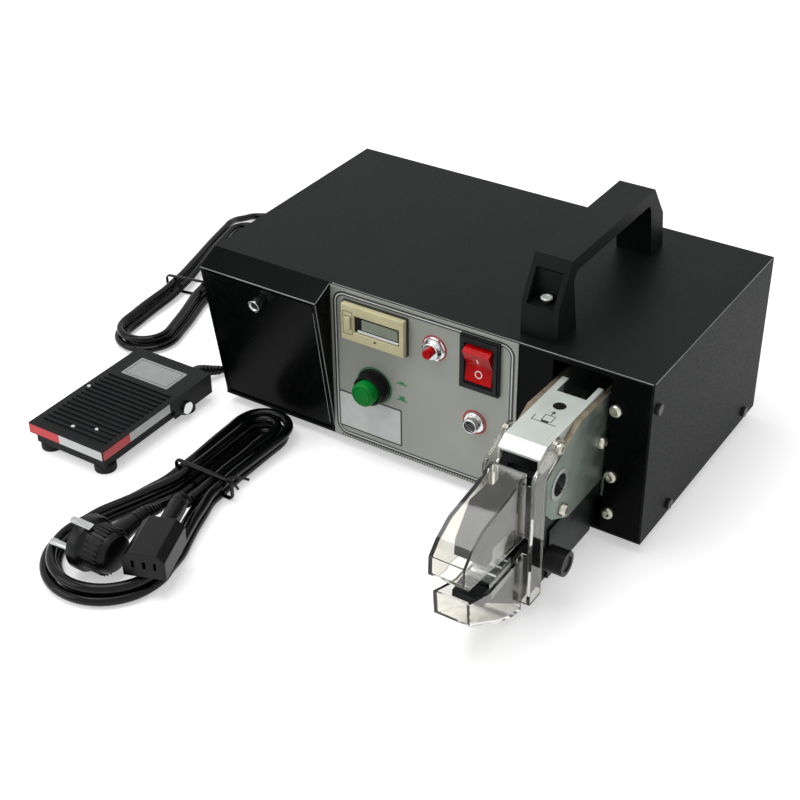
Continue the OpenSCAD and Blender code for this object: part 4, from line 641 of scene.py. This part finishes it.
def setting_tree():
    """A geometry tree that sets one form at each of its points and gives it a material."""
    tree = bpy.data.node_groups.new("set_at_points", "GeometryNodeTree")
    for name, way, kind in (("Points", "INPUT", "NodeSocketGeometry"),
                            ("Form", "INPUT", "NodeSocketObject"),
                            ("First Turn", "INPUT", "NodeSocketVector"),
                            ("Step Turn", "INPUT", "NodeSocketVector"),
                            ("Finish", "INPUT", "NodeSocketMaterial"),
                            ("Result", "OUTPUT", "NodeSocketGeometry")):
        tree.interface.new_socket(name=name, in_out=way, socket_type=kind)
    given = add_node(tree, "NodeGroupInput")
    form = add_node(tree, "GeometryNodeObjectInfo", {"Object": given.outputs["Form"]})
    index = add_node(tree, "GeometryNodeInputIndex")
    turn = add_node(tree, "ShaderNodeVectorMath",
                    {0: given.outputs["Step Turn"], 3: index.outputs["Index"]}, operation="SCALE")
    turned = add_node(tree, "ShaderNodeVectorMath",
                      {0: given.outputs["First Turn"], 1: turn.outputs[0]}, operation="ADD")
    placed = add_node(tree, "GeometryNodeInstanceOnPoints",
                      {"Points": given.outputs["Points"], "Instance": form.outputs["Geometry"],
                       "Rotation": turned.outputs[0]})
    real = add_node(tree, "GeometryNodeRealizeInstances", {"Geometry": placed.outputs[0]})
    done = add_node(tree, "GeometryNodeSetMaterial",
                    {"Geometry": real.outputs[0], "Material": given.outputs["Finish"]})
    last = add_node(tree, "NodeGroupOutput")
    tree.links.new(done.outputs[0], last.inputs["Result"])
    return tree


SET_AT_POINTS = setting_tree()


def set_forms(form, seed, spots, material, first_turn=(0, 0, 0), step_turn=(0, 0, 0),
              place=None):
    """Adds copies of a seed at spots to a form, made by the geometry tree and then placed."""
    seed_mesh = bpy.data.meshes.new("seed")
    seed.to_mesh(seed_mesh)
    seed.free()
    points = bpy.data.meshes.new("spots")
    points.from_pydata([tuple(s) for s in spots], [], [])
    seed_piece, holder = put("seed", seed_mesh), put("spots", points)
    change = holder.modifiers.new("set_forms", "NODES")
    change.node_group = SET_AT_POINTS
    wanted = {"Form": seed_piece, "First Turn": first_turn, "Step Turn": step_turn,
              "Finish": material}
    for item in SET_AT_POINTS.interface.items_tree:
        if item.in_out == "INPUT" and item.name in wanted:
            change[item.identifier] = wanted[item.name]
    result = bpy.data.meshes.new_from_object(
        holder.evaluated_get(bpy.context.evaluated_depsgraph_get()))
    holder.modifiers.remove(change)
    if place is not None:
        result.transform(place)
    result.polygons.foreach_set("material_index", [0] * len(result.polygons))
    form.from_mesh(result)
    for one in (holder, seed_piece):
        bpy.data.objects.remove(one)


def turned_seed(profile, steps=32):
    """A turned form to be set at points."""
    seed = bmesh.new()
    lathe(seed, Matrix.Identity(4), profile, steps=steps)
    return seed


def slab_seed(outline, low, high):
    """A flat plate to be set at points."""
    seed = bmesh.new()
    slab(seed, Matrix.Identity(4), outline, low, high)
    return seed


# -------------------------------- control plate

UP = (0, 0, 1)
LEVEL = (0, 1, 0)
PLATE_FACE = -91
PLATE_MIDDLE = (2.5, 66)
BREAKER = (12.3, 101.2)
LAMP = (42, 56.6)
BUTTON = (-33, 58)
COUNTER = (-31, 102.5)
SWITCH = (45.5, 100.5)
LABEL = (-37, 31.4)
INK = 0.1
RIGHT_TURN = math.pi / 2


def on_plate(x, z, out=0.0):
    """A place on the control plate, looking out of the front."""
    return axes((x, PLATE_FACE - out, z), (0, -1, 0), UP)


def round_line(form, place, radius, width, high, paint):
    """A flat ring drawn round a place."""
    ring(form, place, circle(radius, 56), circle(radius - width, 56), 0, high, paint)


def plate_marks():
    """The printed border with its row of ticks, rings, signs, and the bare label place."""
    form = bmesh.new()
    for wide, radius, width, paint in ((132.8, 8.6, 1.3, 0), (130.2, 7.3, 0.9, 1),
                                       (128.4, 6.4, 0.9, 0)):
        ring(form, on_plate(*PLATE_MIDDLE), rounded(wide, wide - 23, radius),
             rounded(wide - 2 * width, wide - 23 - 2 * width, radius - width), 0, INK, paint)
    round_line(form, on_plate(*BREAKER), 8.9, 0.8, INK, 2)
    round_line(form, on_plate(*LAMP), 8.6, 1.1, INK, 2)
    round_line(form, on_plate(*BUTTON), 13.4, 0.9, INK, 3)
    label = on_plate(*LABEL)
    slab(form, label, rounded(47.6, 26.5, 0.4), 0, 0.12, 4)
    ring(form, label, rounded(49.4, 28.3, 0.5), rounded(47.4, 26.3, 0.4), 0, 0.16, 0)
    for z, high in ((65.5, 1.2), (53.2, 2.6)):
        sign = [(-3.8, 0), (3.8, 0), (3.8, 0.9), (1.9, 0.9), (1.9, 0.9 + high), (-1.9, 0.9 + high),
                (-1.9, 0.9), (-3.8, 0.9)]
        slab(form, on_plate(-12, z), sign, 0, INK, 3)
    tick = slab_seed([(-0.25, -1.3), (0.25, -1.3), (1.1, 1.3), (0.6, 1.3)], 0, INK)
    set_forms(form, tick, [(-62 + 1.9 * k, -55.2, 0) for k in range(66)], black_ink,
              place=on_plate(*PLATE_MIDDLE))
    bind(form, "plate_marks", [black_ink, pale_ink, red_ink, green_ink, pale_label], "case")


def counter_face():
    """The counter's gasket, its window with the display, the key's outline and the index."""
    form = bmesh.new()
    ring(form, on_plate(*COUNTER), rounded(48.6, 27.6, 0.8), rounded(46, 25, 0.6), 0, 1.6, 0)
    window = on_plate(-28, 102.5, 3.8)
    slab(form, window, rounded(33.8, 11.8, 0.3), 0.05, 0.15, 1)
    slab(form, window, rounded(27, 7.6, 0.3, middle=(2.2, 0.9)), 0.1, 0.35, 2)
    prism(form, window, [(0.1, rounded(31, 1.5, 0.3, middle=(1, -4.4))),
                         (0.9, rounded(30.4, 0.9, 0.3, middle=(1, -4.6)))], 3)
    ring(form, on_plate(-49.5, 102.5, 5), rounded(7.4, 16.5, 0.4), rounded(6.8, 15.9, 0.3), 0,
         0.06, 1)
    slab(form, on_plate(-29, 93.6, 5), [(-1.5, -0.2), (1.5, -0.2), (0.2, 1.5)], 0, 0.06)
    bind(form, "counter_face", [black_ink, dark_moulding_and_shade, display_glass, white_film], "case")


# The rocker turns on an axis behind the plate; its face is two flats that meet in a hollow.
ROCKER_TURN = math.radians(10)
ROCKER_AXIS = (45.5, -90, 100.5)
ROCKER_REACH = 13.2
ROCKER_TIP = 6.5
ROCKER_HOLLOW = 3


def on_rocker(share):
    """A place on the rocker's face, from -1 at its lower tip over 0, its hollow, to 1 above."""
    high = math.sqrt(ROCKER_REACH ** 2 - ROCKER_TIP ** 2)
    rise = ROCKER_TIP - ROCKER_HOLLOW
    face = Vector((0, -high, rise if share < 0 else -rise)).normalized()
    spin = Matrix.Rotation(ROCKER_TURN, 3, "X")
    spot = spin @ Vector((0, -ROCKER_HOLLOW - rise * abs(share), high * share))
    return axes(spot + Vector(ROCKER_AXIS), spin @ face, spin @ Vector(UP))


def rocker_marks():
    """The stroke and the ring that mark the rocker's two ends."""
    form = bmesh.new()
    slab(form, on_rocker(0.42), rounded(0.9, 4.2, 0.3), -0.1, 0.12)
    round_line(form, on_rocker(-0.48) @ Matrix.Translation((0, 0, -0.1)), 2.6, 0.65, 0.22, 0)
    bind(form, "rocker_marks", [white_ink], "rocker")


def rocker_frame():
    """The raised rim of the switch's frame, with three ridges on its upper bar."""
    form = bmesh.new()
    place = on_plate(*SWITCH, 2.4)
    ring(form, place, rounded(25.6, 35.6, 0.8), rounded(20.4, 29.6, 0.6), 0, 1.0, 0)
    set_forms(form, slab_seed(rounded(17, 0.5, 0.2, 2), 0, 0.35),
              [(0, 14.9 + 0.9 * k, 0.9) for k in range(3)], moulded_nylon, place=place)
    bind(form, "rocker_frame", [moulded_nylon], "case", bevel=0.25)


def breaker_nut():
    """A domed ring nut with a washer round the breaker's red stub."""
    form = bmesh.new()
    lathe(form, on_plate(*BREAKER), [(0, 0), (0, 7.9), (0.7, 7.9), (0.9, 7.5), (0.9, 3.5)], 56)
    lathe(form, on_plate(*BREAKER), [(2.9, 3.4), (2.9, 6.9), (3.6, 6.6), (4.6, 5.9), (5.6, 5.6),
                                     (5.9, 5.2), (5.9, 3.5)], 56)
    bind(form, "breaker_nut", [chrome_plate], "case", bevel=0.15)


def lamp():
    """A polished tube on a flange, with a domed smoked lens set into its mouth."""
    form = bmesh.new()
    place = on_plate(*LAMP)
    lathe(form, place, [(-22, 0), (-22, 4), (0, 4), (0, 7), (1.2, 7), (1.5, 6.6), (1.6, 5.2),
                        (6.1, 5.0), (6.5, 4.6), (6.5, 4.2), (5.2, 4.0), (5.2, 0)], 56)
    bind(form, "lamp_tube", [chrome_plate], "case", ["lamp_bezel"], bevel=0.1)
    form = bmesh.new()
    lathe(form, place, [(5.1, 0), (5.1, 3.95), (5.5, 3.7), (6.0, 2.6), (6.2, 1.2), (6.25, 0)], 40)
    bind(form, "lamp_eye", [lamp_glass], "case")


def set_round(form, outline, low, high, count, material, place):
    """Equal ribs, of one outline, round the axis of a place."""
    set_forms(form, slab_seed(outline, low, high), [(0, 0, 0)] * count, material,
              step_turn=(0, 0, 2 * math.pi / count), place=place)


def push_button():
    """Fine ribs round the collar's barrel, and the green cap on its stem."""
    form = bmesh.new()
    set_round(form, rounded(0.9, 0.6, 0.25, 2, middle=(0, 10.5)), 2.2, 8.6, 40, moulded_nylon,
              on_plate(*BUTTON))
    bind(form, "button_ribs", [moulded_nylon], "case")
    form = bmesh.new()
    lathe(form, on_plate(*BUTTON), [(-34, 0), (-34, 3.9), (6, 3.9), (6, 8.4), (13.8, 8.4),
                                    (14.6, 8.1), (15.2, 7.4), (15.4, 6.7), (15.1, 6.5),
                                    (15.1, 6.2), (15.5, 6.0), (15.6, 0)], 56)
    bind(form, "button_cap", [green_acrylic], "button", ["push_button"])


plate_marks()
counter_face()
rocker_marks()
rocker_frame()
breaker_nut()
lamp()
push_button()

# -------------------------------- bolts, screws and head marks

HEAD_X = 113
SOCKET_BOLT = [(-7, 0), (-7, 1.9), (0, 1.9), (0, 3.9), (0.3, 4.15), (1.9, 4.1), (2.8, 3.6),
               (3.3, 2.7), (3.3, 1.9), (1.9, 1.8), (1.9, 0)]
GUARD_PIN = [(-10, 0), (-10, 2), (0.3, 2), (0.3, 3.75), (1.4, 3.7), (2.3, 2.9), (2.3, 1.6),
             (1.4, 1.5), (1.4, 0)]


def bolt_heads():
    """Round-head socket bolts of the head, its bracket and the front panel; the guard's pins."""
    form = bmesh.new()
    for side in (-1, 1):
        across = (0, side * RIGHT_TURN, 0)
        face = HEAD_X + side * 17.5
        set_forms(form, turned_seed(SOCKET_BOLT), [(face, -95, 77), (face, -142.9, 58.4)],
                  yellow_zinc, across)
        set_forms(form, turned_seed(GUARD_PIN), [(HEAD_X + side * 17, -149, 104.8)], yellow_zinc,
                  across)
    set_forms(form, turned_seed(SOCKET_BOLT), [(136.5, -90, z) for z in (99, 51.6, 24.2)],
              yellow_zinc, (RIGHT_TURN, 0, 0))
    set_forms(form, turned_seed(SOCKET_BOLT), [(134, -16, 36)], yellow_zinc, (0, RIGHT_TURN, 0))
    bind(form, "bolt_heads", [yellow_zinc], "case", ["head_bolts"])


def handle_screws():
    """Rims round the screw wells at both ends of the handle."""
    form = bmesh.new()
    for y, z in ((-72.5, 148.5), (58.5, 141)):
        lathe(form, axes((78.5, y, z), UP, LEVEL),
              [(-0.6, 0), (-0.6, 3.6), (0, 3.7), (0.5, 3.2), (0.5, 2.3), (0.1, 1.9), (0.1, 0)])
    bind(form, "handle_screw_rims", [bright_zinc], "case")


def head_marks():
    """A generic sign on the head's cover: a block on a base line, with an arrow to the case."""
    form = bmesh.new()
    top = axes((HEAD_X, -133, 109), UP, LEVEL)
    ring(form, top @ Matrix.Translation((0.6, 1.2, 0)), rounded(6.6, 6.4, 0.3),
         rounded(5.7, 5.5, 0.2), 0, 0.06, 0)
    for outline in ([(-8, -4), (8, -4), (8, -3.5), (-8, -3.5)],
                    [(-8, -3.6), (-7.5, -3.6), (-7.5, 1.2), (-8, 1.2)],
                    [(-2.2, -3.4), (2.6, -3.4), (2.6, -1.6), (-2.2, -1.6)],
                    [(0.3, 4.6), (0.9, 4.6), (0.9, 7.2), (0.3, 7.2)],
                    [(-1, 7), (2.2, 7), (0.6, 9.4)]):
        slab(form, top, outline, 0, 0.06)
    bind(form, "head_marks", [black_ink], "case")
    # A dark disc over the hole in the head's cover: painted shade where the hole looks into the
    # head.
    form = bmesh.new()
    lathe(form, axes((HEAD_X, -117, 108.4), UP, LEVEL), [(0, 0), (0, 4.02), (0.1, 4.02), (0.1, 0)])
    bind(form, "cover_hole_shade", [dark_moulding_and_shade], "case")


bolt_heads()
handle_screws()
head_marks()

# -------------------------------- pedal labels and bands

TREADLE_TOP = 22
SKIRT_FRONT = -206
SKIRT_SIDE = -169.45
BAND_HIGH = 6.6
BAND_MIDDLE = 18.0
RED_BANDS = ((-234.6, -208), (-205.6, -179.4))
WHITE_BANDS = ((-208, -170.2), (-179.4, -138.6))


def pedal_labels():
    """Bare printed film: the label place on the treadle and the bands along its skirt."""
    form = bmesh.new()
    top = axes((-203, -115, TREADLE_TOP), UP, LEVEL)
    slab(form, top, rounded(41.4, 22.6, 0.8), 0, 0.12)
    ring(form, top, rounded(37.6, 18.8, 0.6), rounded(36.8, 18.0, 0.5), 0.1, 0.16, 1)
    bind(form, "pedal_label", [grey_film, black_ink], "treadle")
    for name, film, slot, bands in (("pedal_red_bands", red_film, "red_plastic", RED_BANDS),
                                    ("pedal_white_bands", white_film, "ivory_plastic",
                                     WHITE_BANDS)):
        form = bmesh.new()
        for (a, b), place in zip(bands, (axes((0, SKIRT_FRONT, 0), (0, -1, 0), UP),
                                         axes((SKIRT_SIDE, 0, 0), (1, 0, 0), UP))):
            slab(form, place, rounded(b - a, BAND_HIGH, 0.2, middle=((a + b) / 2, BAND_MIDDLE)),
                 -0.05, 0.15)
        bind(form, name, [film], "treadle")
    # Three small white domes on the treadle.
    form = bmesh.new()
    set_forms(form, turned_seed([(0, 0), (0, 1.5), (0.5, 1.4), (0.9, 0.7), (1, 0)], 20),
              [(x, y, TREADLE_TOP + 0.1) for x, y in ((-230.4, -151.4), (-205.9, -194),
                                                      (-190.1, -188))], white_film)
    bind(form, "pedal_studs", [white_film], "treadle")


pedal_labels()

# -------------------------------- plug, reliefs, ties and cords

PLUG_X, PLUG_Y, PLUG_Z = -121, -277, 19
PLUG_TURN = math.radians(12)
PIN_FROM_MIDDLE = 9.5
TIE_GAP = 0.75
RIB_STEP = 3.2


def mains_plug_pins():
    """Steel pins with rounded tips and two earth clips let into the plug's rim."""
    form = bmesh.new()
    for side in (-1, 1):
        y = PLUG_Y + side * PIN_FROM_MIDDLE * math.cos(PLUG_TURN)
        z = PLUG_Z + side * PIN_FROM_MIDDLE * math.sin(PLUG_TURN)
        lathe(form, axes((PLUG_X, y, z), (-1, 0, 0), UP),
              [(-1, 0), (-1, 2.45), (16.4, 2.45), (17.5, 1.9), (18.1, 0.8), (18.1, 0)], 28)
    for side in (-1, 1):
        up = Matrix.Rotation(PLUG_TURN + side * RIGHT_TURN, 3, "X") @ Vector(LEVEL)
        spot = Vector((PLUG_X + 6.6, PLUG_Y, PLUG_Z)) + up * 16.6
        slab(form, axes(spot, up, (-1, 0, 0)) @ Matrix.Rotation(RIGHT_TURN, 4, "Z"),
             rounded(12, 5, 0.8), 0, 1.1)
    return bind(form, "plug_pins", [ground_steel], "case")


def mains_plug_body():
    """The plug: a rimmed face, a waisted body with grip ribs, and a shoulder for the cord."""
    form = bmesh.new()
    place = axes((PLUG_X, PLUG_Y, PLUG_Z), (1, 0, 0), UP)
    lathe(form, place, [(0, 0), (0, 14.4), (0.5, 15.2), (1.5, 17.2), (2.2, 17.45), (8.6, 17.45),
                        (9.4, 17.0), (10.2, 15.6), (11.4, 14.9), (19, 14.4), (24, 13.4),
                        (26.6, 11.4), (27.8, 8), (28, 0)], 64)
    set_round(form, rounded(1.3, 0.9, 0.4, 2, middle=(0, 14.6)), 12, 23, 30, moulded_pvc, place)
    tube(form, [Vector((PLUG_X + 14, y, PLUG_Z)) for y in (PLUG_Y, -266, -258, -252, -247)],
         [8.2, 8.0, 6.8, 6.1, 5.5], 28)
    return bind(form, "plug_body", [moulded_pvc], "case", ["mains_plug"])


def tie_loop(sizes, place, turn, thick):
    """The line of a wire that runs round a hank at its waist, and its two twisted tails."""
    half, low = sizes[1] + thick / 2 + TIE_GAP, HANK_LIFT - 0.25
    high = HANK_LIFT + 2 * thick + LAYER_GAP + TIE_GAP
    spin = Matrix.Rotation(turn, 3, "Z")
    there = Vector((*place, 0))
    outline = rounded(2 * half, high - low, 2.6, 5, middle=(0, (high + low) / 2))
    loop = [spin @ Vector((x, sizes[3], z)) + there for x, z in outline]
    tails = []
    for side in (-1, 1):
        tails.append([spin @ Vector((half - 3 + 2.2 * k, sizes[3] + side * (0.4 + 0.9 * k),
                                     high + 0.3 + 1.1 * k - 0.16 * k * k)) + there
                      for k in range(7)])
    return loop, tails


def twist_ties():
    """Plastic-coated wire ties, wound once round each hank and twisted."""
    form = bmesh.new()
    for sizes, place, degrees, thick in (
            (PEDAL_HANK, PEDAL_HANK_PLACE, PEDAL_HANK_TURN, PEDAL_CORD_D),
            (MAINS_HANK, MAINS_HANK_PLACE, MAINS_HANK_TURN, MAINS_CORD_D)):
        turn = math.radians(degrees)
        loop, tails = tie_loop(sizes, place, turn, thick)
        rings = []
        for i, p in enumerate(loop):
            t = (loop[(i + 1) % len(loop)] - loop[i - 1]).normalized()
            level = Vector((-math.sin(turn), math.cos(turn), 0))
            out = t.cross(level)
            rings.append([p + level * 1.7 * x + out * 0.7 * y for x, y in circle(1, 12)])
        closed_skin(form, [*rings, rings[0]], apart=1e-4)
        for tail in tails:
            tube(form, smooth(tail, 3), 0.9, 10)
    bind(form, "twist_ties", [moulded_pvc], "case", ["cord_ties"])


def relief(name, line, long, base, tip, back):
    """A ribbed sleeve that tapers along the start of a cord; it begins back behind that start."""
    path = smooth(line, 12)
    spots, radii, gone = [path[0] - (path[1] - path[0]).normalized() * back], [base], 0.0
    want = 0.0
    for a, b in zip(path, path[1:]):
        step = (b - a).length
        while want <= gone + step and want <= long:
            spots.append(a + (b - a) * ((want - gone) / step))
            rib = want % RIB_STEP < 2.1
            radii.append((base + (tip - base) * want / long) * (1.0 if rib else 0.86))
            want += 0.55
        gone += step
    form = bmesh.new()
    tube(form, spots, radii, 24)
    return bind(form, name, [moulded_pvc], "case")


twist_ties()
on_mains = [mains_plug_body(), mains_plug_pins(),
            relief("plug_relief", mains_line, 24, 5.7, 3.9, 1),
            relief("connector_relief", list(reversed(mains_line)), 26, 5.9, 4.0, 18),
            "mains_connector_dressed"]
on_pedal = [relief("pedal_relief", pedal_line, 24, 4.6, 3.3, 4), "pedal_cord_plug_dressed"]
laid_cord("pedal_cord", pedal_line, PEDAL_CORD_D,
          ["pedal_cord_lead", "pedal_cord_hank", "pedal_cord_run"])
laid_cord("mains_cord", mains_line, MAINS_CORD_D,
          ["plug_cord_end", "mains_cord_hank", "connector_cord_end"])


# -------------------------------- painted highlights on the edges of the painted sheet


def edge_lines():
    """Painted highlights: thin bright lines on the folds of the roof, the hood and the door."""
    form = bmesh.new()
    for a, b, thick in (((-158.6, -107.0, 115.9), (-66.4, -107.0, 115.9), 0.42),
                        ((-66.3, -107.0, 115.5), (-66.3, -90.6, 14.5), 0.3),
                        ((-66.3, -106.6, 116.2), (-66.3, -90.4, 123.6), 0.26),
                        ((-65, -90.0, 123.8), (158, -90.0, 123.8), 0.3),
                        ((158.8, -89, 123.8), (158.8, 89, 123.8), 0.26)):
        tube(form, [Vector(a), Vector(b)], thick, 8)
    bind(form, "edge_lines", [painted_edge_highlight], "case")
    form = bmesh.new()
    # The door's own painted highlight line, on its front edge.
    tube(form, [Vector((-69.6, -105.4, 107.8)), Vector((-69.6, -91.2, 16))], 0.26, 8)
    bind(form, "door_edge_line", [painted_edge_highlight], "door")


edge_lines()


# -------------------------------- floor, world and lamps

FLOOR_HALF = 6000
FLOOR_LIFT = 0.42
WORLD_LIGHT = 0.62
SOFTBOX_WIDE = 900
WHITE = (1, 1, 1, 1)


def soft_lamp(name, place, aim, watts):
    """A wide square lamp at a place, turned towards another."""
    data = bpy.data.lights.new(name, "AREA")
    data.shape = "SQUARE"
    data.size = SOFTBOX_WIDE * MM
    data.energy = watts
    way = (Vector(aim) - Vector(place)).normalized()
    put(name, data).matrix_world = (Matrix.Translation(Vector(place) * MM)
                                    @ way.to_track_quat("-Z", "Y").to_matrix().to_4x4())


def seen_by_eye(tree):
    """1 for rays from the camera, from gloss and through clear plastic; 0 for the light itself."""
    path = add_node(tree, "ShaderNodeLightPath")
    gloss = add_node(tree, "ShaderNodeMath",
                     {0: path.outputs["Is Camera Ray"], 1: path.outputs["Is Glossy Ray"]},
                     operation="MAXIMUM")
    return add_node(tree, "ShaderNodeMath",
                    {0: gloss.outputs[0], 1: path.outputs["Is Transmission Ray"]},
                    operation="MAXIMUM").outputs[0]


def lay_floor():
    """A pale floor whose colour lifts to white where the camera looks, and which keeps shadows."""
    material, tree, shader = new_material("pale_floor", Roughness=0.9, Specular_IOR_Level=0.1)
    shader.inputs["Base Color"].default_value = (0.84, 0.84, 0.84, 1)
    glow = add_node(tree, "ShaderNodeEmission", {"Color": WHITE})
    share = add_node(tree, "ShaderNodeMath", {0: seen_by_eye(tree), 1: FLOOR_LIFT},
                     operation="MULTIPLY")
    tree.links.new(share.outputs[0], glow.inputs["Strength"])
    both = add_node(tree, "ShaderNodeAddShader", {0: shader.outputs[0], 1: glow.outputs[0]})
    tree.links.new(both.outputs[0], tree.nodes["Material Output"].inputs["Surface"])
    mesh = bpy.data.meshes.new("floor")
    half = FLOOR_HALF * MM
    mesh.from_pydata([(-half, -half, 0), (half, -half, 0), (half, half, 0), (-half, half, 0)], [],
                     [(0, 1, 2, 3)])
    mesh.materials.append(material)
    put("floor", mesh)


def light_world():
    """A white backdrop that lights the scene less than it shows."""
    world = bpy.data.worlds.new("studio")
    world.use_nodes = True
    bpy.context.scene.world = world
    tree = world.node_tree
    sky = tree.nodes["Background"]
    sky.inputs["Color"].default_value = WHITE
    level = add_node(tree, "ShaderNodeMapRange",
                     {"Value": seen_by_eye(tree), "To Min": WORLD_LIGHT, "To Max": 1.0})
    tree.links.new(level.outputs["Result"], sky.inputs["Strength"])


lay_floor()
light_world()
soft_lamp("top_softbox", (-250, -250, 1300), (0, -20, 60), 9)
soft_lamp("front_softbox", (-900, -1200, 700), (0, -60, 60), 5)
bpy.context.scene.view_settings.view_transform = "Standard"
